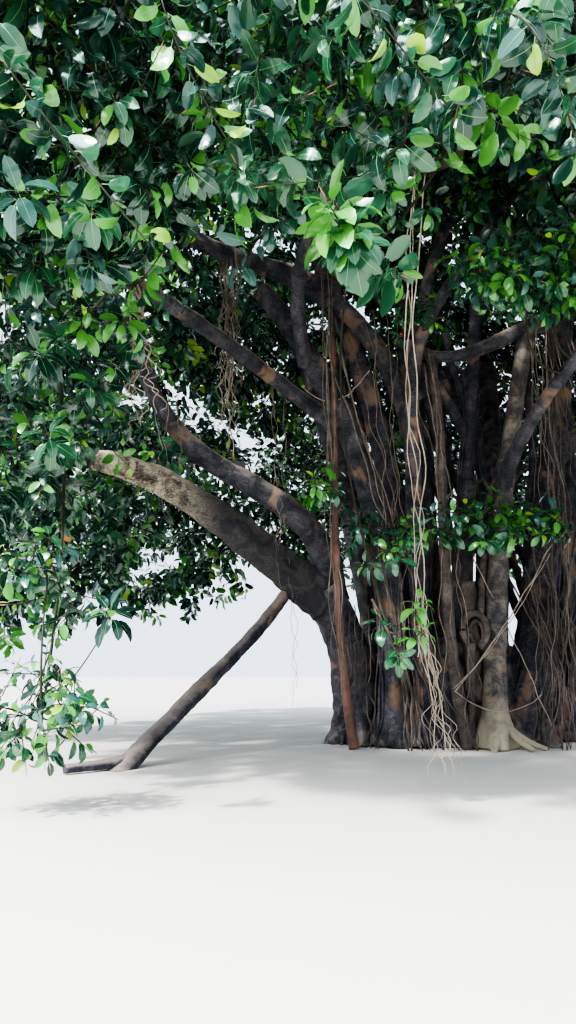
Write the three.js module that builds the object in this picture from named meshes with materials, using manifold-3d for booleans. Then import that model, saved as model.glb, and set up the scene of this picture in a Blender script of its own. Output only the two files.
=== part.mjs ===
// An old rubber fig tree at full size, in millimetres, +Z up, with its origin on the level ground
// in the middle of the trunk. Many stems rise from one fused, flaring trunk and fan out into a
// broad low dome of foliage. Some aerial roots have reached the ground and stand as pillars, and
// others hang free in bundles. The tree faces the viewer along -Y.
import * as THREE from "three";
import { mergeVertices } from "three/addons/utils/BufferGeometryUtils.js";
import Module from "manifold-3d";

const wasm = await Module();
wasm.setup();

// Driving dimensions
const GAP = 0.3; // clear space between one piece and the next
const FUSED_HEIGHT = 2150; // the stems are one trunk up to about here
const FLARE = 0.6; // how much wider than the stem its foot is
const FLARE_HEIGHT = 420; // the flare dies away over this height
const HEART_RADII = [1450, 930]; // the old heart that the stems have grown round
const HEART_CENTRE = [-50, 120];
const HEART_FOOT = 1.45; // how many times wider it is at its foot than at its top
const HEART_RISE = 0.3; // of its height is how far its middle stands above the ground
const STOUT = 300; // a stem of more than this radius has four ribs at its foot, a slighter one three
const RIB_DEPTH = 0.45; // of the flare
const BURIED = 300; // a foot is drawn this far down and then cut off at the ground

// Faces round each limb and rings along it
const FOOT_SIDES = 8;
const FOOT_RINGS = 4;
const STEM_SIDES = 7;
const RINGS_UP_STEM = 6;
const BOUGH_SIDES = 6;
const BOUGH_RINGS = 4;
const PROP_SIDES = 7;
const PROP_RINGS = 3;
const PILLAR_SIDES = 6;
const PILLAR_RINGS = 6;
const PARTING_STEP = 0.01; // of a stem's length, the steps in which its parting is looked for

// Foliage: twigs, and the sprays of leaves on them
const TWIGS = 4; // in each mass
const STEM_RINGS = 3; // along the stem that the twigs of a mass grow from
const SHORTEST_TWIG = 0.2; // of the radius of its mass
const TWIG_STEPS = 6; // places along a twig that are tried for room
const TWIGS_TRIED = 500; // for each mass, at most
const FORK = 0.6; // of a twig's length, where a later one may leave it
const FORK_RADIUS = 0.7; // of the radius at its root
const TWIG_ROOT = 62; // radius
const TWIG_TIP = 30; // radius
const SLIMMING = 0.8; // a twig's root is this share of the wood it leaves
const NARROWING = 0.5; // and its tip this share of its root
const BOLDEST_STEM = 115; // radius of the thickest stem inside a mass
const STEM_ROOT = 0.85; // of its limb's radius, that stem's own at its root
const STEM_BEND = 0.45; // of its length, a stem keeps its limb's heading for this share
const STEM_PLACES = [0.4, 0.7, 1]; // shares of the stem that twigs leave from
const STRAIGHTNESS = 0.5; // how much a twig favours wood that already heads its way
const OUTWARDNESS = 0.25; // the smaller it is, the more twigs reach for the skin of the mass
const DEEPEST = 0.6; // of a spray's length, twigs end at least this far inside the skin
const SPRAY_PLACES = [0.5, 0.8, 0.98]; // shares of a twig at which its sprays leave it
const SPRAY_LENGTH = 0.68; // of the radius of its mass
const SPRAY_WIDTH = 0.56; // of its length
const SPRAY_THICKNESS = 0.03; // of its length
const WIDEST = -0.16; // a spray is widest a little nearer its foot than its middle
const INNER_SPRAY = 0.7; // of its full length, for a spray at the very root of a twig
const SPRAY_FORWARD = 0.55; // how much a spray follows its twig,
const SPRAY_SIDEWAYS = 0.8; // stands out from it
const SPRAY_OUTWARD = 0.25; // and leans out of the crown
const CROWN_HEART = 0.6; // of a mass's height, how high the place is that its sprays turn away from
const SPRAY_TRIES = 9;
const TRY_SHORTER = 0.05; // of its length a spray loses at each try
const SLIVER = 0.01; // the share of a spray that may lie in another
const SPACE_MARGIN = 45; // foliage stays this far inside its own space
const LIMB_MARGIN = 60; // and this far from every limb
const LOWEST_LEAF = 120;

// The bare room under the crown, half an ellipsoid round the trunk
const ROOM_CENTRE = [0, -2000, 0];
const ROOM_RADII = [7400, 11000, 8200];

// Each ring of foliage masses: the bearing of the first in degrees, the distance of their centres
// from the trunk, the height of the centres, the radius of each mass, and the limbs that carry
// them, in order round the tree
const RINGS = [
  {
    bearing: 180,
    reach: 8500,
    height: 6500,
    size: 3500,
    dips: true,
    carriers: [
      "low_left_bough",
      "fore_left_bough",
      "front_left_bough",
      "front_right_bough",
      "right_bough",
      "side_bough",
      "right_back_bough",
      "back_left_bough",
      "left_back_bough",
    ],
  },
  {
    bearing: 180,
    reach: 5800,
    height: 10000,
    size: 3300,
    dips: false,
    carriers: [
      "second_left_bough",
      "upper_left_bough",
      "forward_bough",
      "high_right_bough",
      "right_stem",
      "back_right_stem",
      "back_left_stem",
    ],
  },
  {
    bearing: 200,
    reach: 2900,
    height: 12500,
    size: 3000,
    dips: false,
    carriers: ["dark_stem", "upright_stem", "far_right_stem", "back_stem"],
  },
  { bearing: 0, reach: 0, height: 13300, size: 2700, dips: false, carriers: ["middle_stem"] },
];
const LEFT_DIP = 800; // the rim hangs lower on the left
const SIDE_DIP = 700; // and lower at both sides than at front and back

// Leafy side branches: the limb that bears each, the share of it they leave from, the centre of
// their leaves, the radius of the space they fill, and the girth of their stem. The first is a
// branch of the crown that reaches out over the viewer, and the others are shoots below it.
const SHOOTS = [
  {
    name: "overhanging_leaves",
    from: "fore_left_bough", share: 0.8,
    centre: [-5250, -9350, 6500], size: 2200,
    girth: [95, 50], twigs: 4, inRoom: false,
  },
  {
    name: "trunk_shoot",
    from: "front_pillar_root", share: 0.47,
    centre: [0, -2150, 3650], size: 1300,
    girth: [34, 20], twigs: 3, inRoom: true,
  },
  {
    name: "front_hanging_shoot",
    from: "front_left_bough", share: 0.8,
    centre: [-2190, -7700, 1800], size: 900,
    girth: [34, 20], twigs: 2, inRoom: true,
  },
  {
    name: "left_hanging_shoot",
    from: "fore_left_bough", share: 0.9,
    centre: [-5700, -7600, 1000], size: 950,
    girth: [34, 20], twigs: 2, inRoom: true,
  },
];

// Every limb is one smooth curve from its root through two places to its tip. Its girth is its
// radius at the root and at the tip.
const STEMS = [
  {
    name: "left_stem",
    path: [[-1850, -230, -BURIED], [-1930, -250, 800], [-2160, -280, 1900], [-2650, -310, 2820]],
    girth: [390, 390],
  },
  {
    name: "leaning_stem",
    path: [[-1430, -850, -BURIED], [-1380, -850, 2800], [-2050, -850, 5850], [-3850, -1000, 9000]],
    girth: [280, 180],
  },
  {
    name: "dark_stem",
    path: [[-900, -400, -BURIED], [-980, -300, 3500], [-1560, -150, 6900], [-2750, 0, 10500]],
    girth: [290, 170],
  },
  {
    name: "inner_stem",
    path: [[-500, -150, -BURIED], [-690, -300, 2900], [-800, -520, 6100], [-2350, -650, 8950]],
    girth: [250, 170],
  },
  {
    name: "upright_stem",
    path: [[-880, -1120, -BURIED], [-840, -1000, 3600], [-760, -1050, 7400], [250, -850, 11000]],
    girth: [170, 110],
  },
  {
    name: "middle_stem",
    path: [[-120, -350, -BURIED], [150, -350, 3300], [480, -450, 6900], [800, -450, 10500]],
    girth: [220, 110],
  },
  {
    name: "pale_stem",
    path: [[400, -1330, -BURIED], [540, -1260, 2500], [950, -1080, 5300], [1550, -960, 8120]],
    girth: [200, 160],
  },
  {
    name: "right_stem",
    path: [[1060, -500, -BURIED], [1680, -400, 3100], [2250, -250, 6500], [2700, 0, 9600]],
    girth: [400, 200],
  },
  {
    name: "far_right_stem",
    path: [[2050, 500, -BURIED], [2550, 600, 3300], [2750, 750, 6900], [2650, 900, 10500]],
    girth: [330, 160],
  },
  {
    name: "back_right_stem",
    path: [[900, 1000, -BURIED], [1100, 1350, 2700], [1500, 2000, 5900], [1800, 3100, 9000]],
    girth: [400, 180],
  },
  {
    name: "back_stem",
    path: [[-200, 1150, -BURIED], [-250, 1350, 3300], [-350, 1600, 7000], [-500, 2100, 10500]],
    girth: [380, 170],
  },
  {
    name: "back_left_stem",
    path: [[-1200, 750, -BURIED], [-1450, 1050, 2600], [-2050, 1700, 5800], [-2900, 2700, 8900]],
    girth: [400, 180],
  },
];
const FORKED = "left_stem"; // ends in the trunk's own fork

// The boughs, each rooted inside the limb that bears it
const BOUGHS = [
  {
    name: "low_left_bough",
    path: [[-2560, -300, 2700], [-4000, -750, 3800], [-5450, -1350, 4750], [-6900, -1950, 5130]],
    girth: [390, 190],
  },
  {
    name: "second_left_bough",
    path: [[-2420, -230, 2720], [-3300, -500, 4500], [-4900, -1050, 5420], [-6050, -2300, 7200]],
    girth: [270, 130],
  },
  {
    name: "left_back_bough",
    path: [[-4350, -830, 5230], [-5300, 700, 5900], [-6400, 1700, 6450], [-7300, 2900, 6900]],
    girth: [170, 100],
  },
  {
    name: "upper_left_bough",
    path: [[-2350, -60, 9350], [-3600, -850, 9520], [-4750, -1600, 9540], [-5500, -2250, 9850]],
    girth: [210, 110],
  },
  {
    name: "fore_left_bough",
    path: [[-2250, -870, 6050], [-3600, -1500, 6900], [-4750, -3200, 7150], [-5700, -5100, 7000]],
    girth: [160, 100],
  },
  {
    name: "front_left_bough",
    path: [[-2950, -910, 7450], [-3100, -2700, 8300], [-2650, -4700, 8450], [-1500, -6900, 7600]],
    girth: [150, 95],
  },
  {
    name: "forward_bough",
    path: [[-770, -1050, 6600], [-700, -1700, 7700], [-100, -2600, 8650], [500, -3500, 9300]],
    girth: [115, 90],
  },
  {
    name: "joining_bough",
    path: [[2480, -130, 8500], [1500, -920, 8150], [400, -1130, 7600], [-650, -1080, 7620]],
    girth: [200, 110],
  },
  {
    name: "crossing_limb",
    path: [[370, -420, 5900], [150, -550, 6380], [-200, -750, 6880], [-640, -1010, 7350]],
    girth: [100, 85],
  },
  {
    name: "front_right_bough",
    path: [[830, -1130, 4800], [1200, -2700, 6000], [2000, -4200, 7000], [2900, -5600, 7700]],
    girth: [140, 95],
  },
  {
    name: "high_right_bough",
    path: [[2330, -210, 7100], [2650, -1100, 8000], [2950, -2000, 8750], [3200, -2900, 9300]],
    girth: [140, 95],
  },
  {
    name: "right_bough",
    path: [[2100, -320, 5600], [3400, -1000, 6500], [4800, -1600, 7000], [6200, -2100, 7200]],
    girth: [190, 105],
  },
  {
    name: "side_bough",
    path: [[2600, 650, 4300], [3700, 1100, 5500], [4900, 1600, 6300], [6100, 2150, 6850]],
    girth: [200, 110],
  },
  {
    name: "right_back_bough",
    path: [[1250, 1600, 4000], [1900, 2800, 5300], [2600, 4200, 6300], [3200, 5600, 7000]],
    girth: [210, 110],
  },
  {
    name: "back_left_bough",
    path: [[-290, 1480, 4600], [-600, 2900, 5700], [-900, 4400, 6500], [-1150, 6000, 7000]],
    girth: [200, 110],
  },
];

// Aerial roots that have reached the ground and thickened into props, each named by the limb it
// fell from and the share of it
const PILLARS = [
  {
    name: "red_pillar_root",
    foot: [-2080, -1400], waist: [-2400, -1450],
    from: "upper_left_bough", share: 0.03,
  },
  {
    name: "front_pillar_root",
    foot: [-20, -1350], waist: [-380, -1380],
    from: "joining_bough", share: 0.95,
  },
  {
    name: "right_pillar_root",
    foot: [2450, -1500], waist: [2550, -1300],
    from: "right_bough", share: 0.26,
  },
];
const PILLAR_GIRTH = [125, 85];
const PILLAR_FLARE = 0.6; // how much wider its foot is
const PILLAR_FLARE_HEIGHT = 250;
const WAIST_HEIGHT = 0.33; // of the pillar's height
const SHOULDER_HEIGHT = 0.7; // up to here it stays nearly above its waist
const SHOULDER_LEAN = 0.1; // of the way over to its top

// Aerial roots that hang free: each bundle falls from one place on a limb, in strands that are
// fused at the top
const BUNDLES = [
  {
    name: "left_hanging_roots",
    from: "upper_left_bough", share: 0.66,
    drop: 4300, strands: 5, spread: 260,
  },
  {
    name: "far_left_hanging_roots",
    from: "fore_left_bough", share: 0.97,
    drop: 2300, strands: 4, spread: 220,
  },
  {
    name: "front_hanging_roots",
    from: "front_left_bough", share: 0.97,
    drop: 7450, strands: 4, spread: 200,
  },
  {
    name: "right_hanging_roots",
    from: "joining_bough", share: 0.2,
    drop: 7900, strands: 5, spread: 380,
  },
];

const COLOURS = {
  bark: 0x6b5a4b,
  paleBark: 0xa08c70,
  redRoot: 0x8a4a38,
  root: 0x9a8270,
  leaf: 0x2f6b2c,
};

const vector = (x, y, z) => new THREE.Vector3(x, y, z);
const up = vector(0, 0, 1);

// A three.js geometry as a solid: only its positions are kept, with shared corners merged.
function solidOf(geometry) {
  const bare = new THREE.BufferGeometry();
  bare.setAttribute("position", geometry.getAttribute("position"));
  bare.setIndex(geometry.index);
  const merged = mergeVertices(bare, 1e-3);
  return new wasm.Manifold(
    new wasm.Mesh({
      numProp: 3,
      vertProperties: new Float32Array(merged.attributes.position.array),
      triVerts: new Uint32Array(merged.index.array),
    }),
  );
}

// A finished solid as a named mesh.
function meshOf(name, solid, colour) {
  const result = solid.getMesh();
  const geometry = new THREE.BufferGeometry();
  geometry.setAttribute("position", new THREE.BufferAttribute(result.vertProperties, 3));
  geometry.setIndex(new THREE.BufferAttribute(result.triVerts, 1));
  const material = new THREE.MeshStandardMaterial({ color: colour, roughness: 0.85, metalness: 0 });
  const mesh = new THREE.Mesh(geometry, material);
  mesh.name = name;
  return mesh;
}

// The largest body of a solid, so that a scrap left by a cut is dropped.
function largest(solid) {
  const bodies = solid.decompose();
  return bodies.reduce((best, body) => (body.volume() > best.volume() ? body : best));
}

// A unit cylinder carried along a curve: its height follows the curve and its side lies at
// radiusAt(share, angle) from it. Its faces all stand out by clear, the ends too.
function bentCylinder(curve, radiusAt, sides, rings, clear = 0) {
  const geometry = new THREE.CylinderGeometry(1, 1, 1, sides, rings);
  const frames = curve.computeFrenetFrames(rings, false);
  const place = geometry.attributes.position;
  const point = vector(0, 0, 0);
  for (let index = 0; index < place.count; index++) {
    point.fromBufferAttribute(place, index);
    const share = THREE.MathUtils.clamp(point.y + 0.5, 0, 1);
    const ring = Math.round(share * rings);
    const angle = Math.atan2(point.z, point.x);
    const reach = Math.hypot(point.x, point.z) > 0.5 ? radiusAt(share, angle) + clear : 0;
    const centre = curve.getPointAt(share);
    if (ring === 0 || ring === rings) {
      centre.addScaledVector(frames.tangents[ring], ring === 0 ? -clear : clear);
    }
    centre.addScaledVector(frames.normals[ring], reach * Math.cos(angle));
    centre.addScaledVector(frames.binormals[ring], reach * Math.sin(angle));
    place.setXYZ(index, centre.x, centre.y, centre.z);
  }
  const solid = solidOf(geometry);
  if (solid.volume() > 0) {
    return solid;
  }
  const turned = geometry.index.array;
  for (let corner = 0; corner < turned.length; corner += 3) {
    [turned[corner + 1], turned[corner + 2]] = [turned[corner + 2], turned[corner + 1]];
  }
  return solidOf(geometry);
}

// The part of a curve between two shares of its length.
class PartOfCurve extends THREE.Curve {
  constructor(whole, from, to) {
    super();
    this.whole = whole;
    this.from = from;
    this.to = to;
  }
  getPoint(share, target = vector(0, 0, 0)) {
    return target.copy(this.whole.getPointAt(this.from + (this.to - this.from) * share));
  }
}

// The smooth curve that starts at the first of four places, passes the next two a third and two
// thirds of the way along, and ends at the last.
function curveThrough(path) {
  const [root, first, second, tip] = path.map((place) => vector(...place));
  const blend = (a, b, c, d) =>
    vector(0, 0, 0)
      .addScaledVector(root, a / 6)
      .addScaledVector(first, b / 6)
      .addScaledVector(second, c / 6)
      .addScaledVector(tip, d / 6);
  return new THREE.CubicBezierCurve3(root, blend(-5, 18, -9, 2), blend(2, -9, 18, -5), tip);
}

const taper = (girth, share) => girth[0] + (girth[1] - girth[0]) * share;

// Everything below the ground, which every foot is cut by.
const groundBlock = solidOf(new THREE.BoxGeometry(60000, 60000, 4000).translate(0, 0, -2000));

// Limbs are kept with the middle of each of their rings, so that later pieces can meet them and
// keep clear of them.
const limbs = new Map();

function keepLimb(name, curve, girth, rings) {
  const points = [];
  for (let ring = 0; ring <= rings; ring++) {
    points.push({ at: curve.getPointAt(ring / rings), radius: taper(girth, ring / rings) });
  }
  limbs.set(name, { curve, girth, points });
}

// Solids already made, with a slightly larger copy of each that later pieces are cut by.
const made = [];

function keepSolid(name, solid, larger, colour) {
  made.push({ name, solid, larger, box: larger.boundingBox(), colour });
}

const boxesMeet = (a, b) => a.min.every((low, i) => low <= b.max[i] && b.min[i] <= a.max[i]);

// A solid less everything that was made before it.
function cutClear(solid) {
  const box = solid.boundingBox();
  const earlier = made.filter((piece) => boxesMeet(box, piece.box));
  return largest(earlier.reduce((left, piece) => left.subtract(piece.larger), solid));
}

function addLimb(name, curve, girth, sides, rings, colour) {
  keepLimb(name, curve, girth, rings);
  const radiusAt = (share) => taper(girth, share);
  const solid = cutClear(bentCylinder(curve, radiusAt, sides, rings));
  keepSolid(name, solid, bentCylinder(curve, radiusAt, sides, rings, GAP), colour);
}

// Trunk and stems

// The share of a stem's length at which it parts from the trunk.
function partingShare(stem, curve) {
  if (stem.name === FORKED) {
    return 1;
  }
  let share = 0;
  while (curve.getPointAt(share).z < FUSED_HEIGHT) {
    share += PARTING_STEP;
  }
  return share;
}

// A stem's foot, wider towards the ground in three or four root-like ribs.
function footSolid(stem, curve, share, clear) {
  const part = new PartOfCurve(curve, 0, share);
  const ribs = stem.girth[0] > STOUT ? 4 : 3;
  const radiusAt = (along, angle) => {
    const height = Math.max(0, part.getPointAt(along).z);
    const spread = FLARE * Math.exp(-height / FLARE_HEIGHT);
    const ribbed = 1 + RIB_DEPTH * Math.cos(ribs * angle + stem.girth[0]);
    return taper(stem.girth, along * share) * (1 + spread * ribbed);
  };
  return bentCylinder(part, radiusAt, FOOT_SIDES, FOOT_RINGS, clear);
}

function makeTrunk(clear) {
  const heart = new THREE.CylinderGeometry(1, HEART_FOOT, FUSED_HEIGHT, 10, 1);
  heart.rotateX(Math.PI / 2);
  heart.scale(HEART_RADII[0] + clear, HEART_RADII[1] + clear, 1);
  heart.translate(...HEART_CENTRE, FUSED_HEIGHT * HEART_RISE);
  return STEMS.reduce((trunk, stem) => {
    const curve = curveThrough(stem.path);
    return trunk.add(footSolid(stem, curve, partingShare(stem, curve), clear));
  }, solidOf(heart));
}

keepSolid("trunk", makeTrunk(0).subtract(groundBlock), makeTrunk(GAP), COLOURS.bark);

for (const stem of STEMS) {
  const curve = curveThrough(stem.path);
  const parting = partingShare(stem, curve);
  if (parting < 1) {
    const above = new PartOfCurve(curve, parting + GAP / curve.getLength(), 1);
    const colour = stem.name === "pale_stem" ? COLOURS.paleBark : COLOURS.bark;
    addLimb(stem.name, above, [taper(stem.girth, parting), stem.girth[1]], STEM_SIDES, RINGS_UP_STEM, colour);
  }
}

for (const bough of BOUGHS) {
  const colour = bough.name === "low_left_bough" ? COLOURS.paleBark : COLOURS.bark;
  addLimb(bough.name, curveThrough(bough.path), bough.girth, BOUGH_SIDES, BOUGH_RINGS, colour);
}

// The limb that leans from the low left bough to the ground, and its side branch that lies there
const PROP = {
  main: [[-3270, -510, 2920], [-4050, -1450, 1870], [-4850, -2650, 950], [-5750, -4250, -150]],
  side: [[-5330, -3500, 420], [-5550, -3850, 150], [-5850, -4250, 85], [-6300, -4700, 75]],
  mainGirth: [115, 150],
  sideGirth: [90, 60],
};

function propSolid(clear) {
  const shape = (path, girth) =>
    bentCylinder(curveThrough(path), (share) => taper(girth, share), PROP_SIDES, PROP_RINGS, clear);
  return shape(PROP.main, PROP.mainGirth).add(shape(PROP.side, PROP.sideGirth));
}

keepLimb("prop_limb", curveThrough(PROP.main), PROP.mainGirth, PROP_RINGS);
keepSolid("prop_limb", cutClear(propSolid(0).subtract(groundBlock)), propSolid(GAP), COLOURS.bark);

// Aerial roots

for (const pillar of PILLARS) {
  const top = limbs.get(pillar.from).curve.getPointAt(pillar.share);
  const path = [
    [...pillar.foot, -BURIED],
    [...pillar.waist, top.z * WAIST_HEIGHT],
    [
      taper([pillar.waist[0], top.x], SHOULDER_LEAN),
      taper([pillar.waist[1], top.y], SHOULDER_LEAN),
      top.z * SHOULDER_HEIGHT,
    ],
    top.toArray(),
  ];
  const curve = curveThrough(path);
  const radiusAt = (share) => {
    const height = Math.max(0, curve.getPointAt(share).z);
    return taper(PILLAR_GIRTH, share) * (1 + PILLAR_FLARE * Math.exp(-height / PILLAR_FLARE_HEIGHT));
  };
  keepLimb(pillar.name, curve, PILLAR_GIRTH, PILLAR_RINGS);
  const solid = bentCylinder(curve, radiusAt, PILLAR_SIDES, PILLAR_RINGS).subtract(groundBlock);
  const colour = pillar.name === "red_pillar_root" ? COLOURS.redRoot : COLOURS.root;
  const larger = bentCylinder(curve, radiusAt, PILLAR_SIDES, PILLAR_RINGS, GAP);
  keepSolid(pillar.name, cutClear(solid), larger, colour);
}

const GOLDEN_ANGLE = Math.PI * (3 - Math.sqrt(5));
const COLLAR = { length: 260, girth: [80, 50] };
const STRAND_START = 0.5; // of the collar's length, how far down it the strands begin
const STRAND_GIRTH = [24, 14];
const STRAND_LOSS = 0.13; // each strand is shorter than the last by this share of the longest
const STRAND_BOW = 1.5; // of the bundle's spread, how far a strand bows out half-way down
const STRAND_END = 0.6; // of the bundle's spread, how far out it ends

function bundleSolid(bundle, top, radius, clear) {
  const down = (place, length) => place.clone().addScaledVector(up, -length);
  const collar = new THREE.LineCurve3(top, down(top, radius + COLLAR.length));
  let solid = bentCylinder(collar, (share) => taper(COLLAR.girth, share), 6, 1, clear);
  for (let strand = 0; strand < bundle.strands; strand++) {
    const angle = strand * GOLDEN_ANGLE;
    const length = bundle.drop * (1 - STRAND_LOSS * strand);
    const outward = vector(Math.cos(angle), Math.sin(angle), 0);
    const start = down(top, radius + COLLAR.length * STRAND_START);
    const middle = down(start, length * 0.5).addScaledVector(outward, bundle.spread * STRAND_BOW);
    const end = down(start, length).addScaledVector(outward, bundle.spread * STRAND_END);
    const curve = new THREE.QuadraticBezierCurve3(start, middle, end);
    solid = solid.add(bentCylinder(curve, (share) => taper(STRAND_GIRTH, share), 3, 4, clear));
  }
  return solid;
}

for (const bundle of BUNDLES) {
  const limb = limbs.get(bundle.from);
  const top = limb.curve.getPointAt(bundle.share);
  const radius = taper(limb.girth, bundle.share);
  const middle = new THREE.LineCurve3(top, top.clone().addScaledVector(up, -bundle.drop));
  keepLimb(bundle.name, middle, [bundle.spread, bundle.spread], 1);
  const solid = cutClear(bundleSolid(bundle, top, radius, 0));
  keepSolid(bundle.name, solid, bundleSolid(bundle, top, radius, GAP), COLOURS.root);
}

// Foliage

// Where each mass of a ring is centred, and the stem that grows on into it from its limb's tip.
function massesOf(ring) {
  return ring.carriers.map((carrier, index) => {
    const bearing = THREE.MathUtils.degToRad(ring.bearing + (360 * index) / ring.carriers.length);
    const dip = SIDE_DIP * Math.cos(2 * bearing) - LEFT_DIP * Math.cos(bearing);
    const height = ring.height - (ring.dips ? dip : 0);
    const centre = vector(ring.reach * Math.cos(bearing), ring.reach * Math.sin(bearing), height);
    const limb = limbs.get(carrier);
    const heading = limb.curve.getTangentAt(1);
    const start = limb.curve.getPointAt(1).addScaledVector(heading, GAP);
    const bend = start.clone().addScaledVector(heading, start.distanceTo(centre) * STEM_BEND);
    return {
      name: `${carrier}_leaves`,
      centre,
      size: ring.size,
      inRoom: false,
      twigs: TWIGS,
      stem: new THREE.QuadraticBezierCurve3(start, bend, centre.clone()),
      girth: [Math.min(limb.girth[1] * STEM_ROOT, BOLDEST_STEM), TWIG_ROOT],
    };
  });
}

// A shoot's stem leaves the side of its limb and arches over to the middle of its leaves.
function massOf(shoot) {
  const limb = limbs.get(shoot.from);
  const centre = vector(...shoot.centre);
  const start = limb.curve.getPointAt(shoot.share);
  const along = limb.curve.getTangentAt(shoot.share);
  const away = centre.clone().sub(start).projectOnPlane(along).normalize();
  const bend = start.clone().addScaledVector(away, start.distanceTo(centre) * STEM_BEND);
  return {
    name: shoot.name,
    centre,
    size: shoot.size,
    inRoom: shoot.inRoom,
    twigs: shoot.twigs,
    stem: new THREE.QuadraticBezierCurve3(start, bend, centre.clone()),
    girth: shoot.girth,
  };
}
const shoots = SHOOTS.map(massOf);
for (const shoot of shoots) {
  keepLimb(shoot.name, shoot.stem, shoot.girth, STEM_RINGS);
}
const masses = [...RINGS.flatMap(massesOf), ...shoots];

function insideRoom(point) {
  const shares = ROOM_RADII.map((radius, axis) => (point.getComponent(axis) - ROOM_CENTRE[axis]) / radius);
  return Math.hypot(...shares) < 1;
}

// A point is in a mass's space if it lies in its ball, on its own side of the plane where that
// ball meets each other one, outside the bare room under the crown and above the ground.
function inSpace(mass, point, margin) {
  if (point.distanceTo(mass.centre) > mass.size - margin || point.z < LOWEST_LEAF) {
    return false;
  }
  if (!mass.inRoom && insideRoom(point)) {
    return false;
  }
  const depth = (ball) => point.distanceToSquared(ball.centre) - ball.size ** 2;
  return masses.every((other) => {
    const further = (depth(other) - depth(mass)) / (2 * other.centre.distanceTo(mass.centre));
    return other === mass || further > margin;
  });
}

const stretch = new THREE.Line3();
const foot = vector(0, 0, 0);

// Whether a point is further than a margin from the surface of every limb but its own.
function clearOfLimbs(point, margin, own) {
  for (const [name, limb] of limbs) {
    if (name === own) {
      continue;
    }
    for (let index = 1; index < limb.points.length; index++) {
      stretch.set(limb.points[index - 1].at, limb.points[index].at);
      stretch.closestPointToPoint(point, true, foot);
      if (foot.distanceTo(point) < limb.points[index - 1].radius + margin) {
        return false;
      }
    }
  }
  return true;
}

// The digits of a whole number in some base, written backwards after the point. For one number
// after another this gives shares that are spread evenly without chance.
function evenShare(index, base) {
  let value = 0;
  let share = 1 / base;
  for (let rest = index; rest > 0; rest = Math.floor(rest / base)) {
    value += share * (rest % base);
    share /= base;
  }
  return value;
}

// The place in a mass that its twig with this index would reach for.
function targetOf(mass, index) {
  const out = mass.size * (1 - SPRAY_LENGTH * DEEPEST) * evenShare(index, 2) ** OUTWARDNESS;
  const turn = 2 * Math.PI * evenShare(index, 3);
  const rise = 1 - 2 * evenShare(index, 5);
  const flat = Math.sqrt(1 - rise * rise);
  return vector(flat * Math.cos(turn), flat * Math.sin(turn), rise).multiplyScalar(out).add(mass.centre);
}

// The place on the older wood that a twig to this target leaves from: near it, and heading its way.
function bestParent(wood, target) {
  let best;
  let least = Infinity;
  for (const node of wood) {
    const way = target.clone().sub(node.at);
    const turn = way.clone().normalize().dot(node.heading);
    const cost = way.length() * (1 + STRAIGHTNESS * (1 - turn));
    if (cost < least) {
      least = cost;
      best = node;
    }
  }
  return best;
}

function segmentClear(mass, from, to, margin) {
  for (let step = 1; step <= TWIG_STEPS; step++) {
    const point = from.clone().lerp(to, step / TWIG_STEPS);
    if (!inSpace(mass, point, margin) || !clearOfLimbs(point, margin + LIMB_MARGIN, mass.name)) {
      return false;
    }
  }
  return true;
}

// A spray of leaves as one flat leaf of eight faces, its foot sunk in the wood.
function sprayFrame(base, along, face, length) {
  const width = face.clone().cross(along).normalize();
  const flat = along.clone().cross(width).normalize();
  return { base, along, width, flat, length };
}

function sprayCorners(spray) {
  const at = (a, w, f) =>
    spray.base
      .clone()
      .addScaledVector(spray.along, ((a + 1) * spray.length) / 2)
      .addScaledVector(spray.width, (w * spray.length * SPRAY_WIDTH) / 2)
      .addScaledVector(spray.flat, (f * spray.length * SPRAY_THICKNESS) / 2);
  return at;
}

// Places on a spray, along it from -1 at its foot to 1 at its tip and across it from -1 to 1, that
// must all lie in the space of its mass.
const OUTLINE_PLACES = [
  [1, 0],
  [WIDEST, 1],
  [WIDEST, -1],
  [0.4, 0.5],
  [0.4, -0.5],
  [0.4, 0],
  [-0.1, 0],
  [-0.4, 0.5],
  [-0.4, -0.5],
];

function sprayFits(mass, spray) {
  const at = sprayCorners(spray);
  return OUTLINE_PLACES.every(([along, across]) => {
    const point = at(along, across, 0);
    return inSpace(mass, point, SPACE_MARGIN) && clearOfLimbs(point, LIMB_MARGIN, mass.name);
  });
}

function spraySolid(spray) {
  const geometry = new THREE.OctahedronGeometry(1);
  const place = geometry.attributes.position;
  const at = sprayCorners(spray);
  for (let index = 0; index < place.count; index++) {
    const tip = Math.abs(place.getX(index)) > 0.5;
    const corner = at(tip ? place.getX(index) : WIDEST, place.getY(index), place.getZ(index));
    place.setXYZ(index, corner.x, corner.y, corner.z);
  }
  return solidOf(geometry);
}

// Tries a spray from a place on the wood, turned by the golden angle until it fits its space and
// cuts through no other spray.
function placeSpray(mass, leaves, base, heading, start, length) {
  const outward = base.clone().sub(vector(0, 0, mass.centre.z * CROWN_HEART)).normalize();
  const side = up.clone().cross(outward).normalize();
  const rise = outward.clone().cross(side);
  const face = outward.clone().addScaledVector(up, 0.5);
  for (let attempt = 0; attempt < SPRAY_TRIES; attempt++) {
    const angle = start + attempt * GOLDEN_ANGLE;
    const size = length * (1 - TRY_SHORTER * attempt);
    const along = heading.clone().multiplyScalar(SPRAY_FORWARD);
    along.addScaledVector(side, Math.cos(angle) * SPRAY_SIDEWAYS);
    along.addScaledVector(rise, Math.sin(angle) * SPRAY_SIDEWAYS);
    along.addScaledVector(outward, SPRAY_OUTWARD).normalize();
    const spray = sprayFrame(base, along, face, size);
    if (!sprayFits(mass, spray)) {
      continue;
    }
    const solid = spraySolid(spray);
    if (!cutsThrough(solid, leaves)) {
      return solid;
    }
  }
  return null;
}

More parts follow.
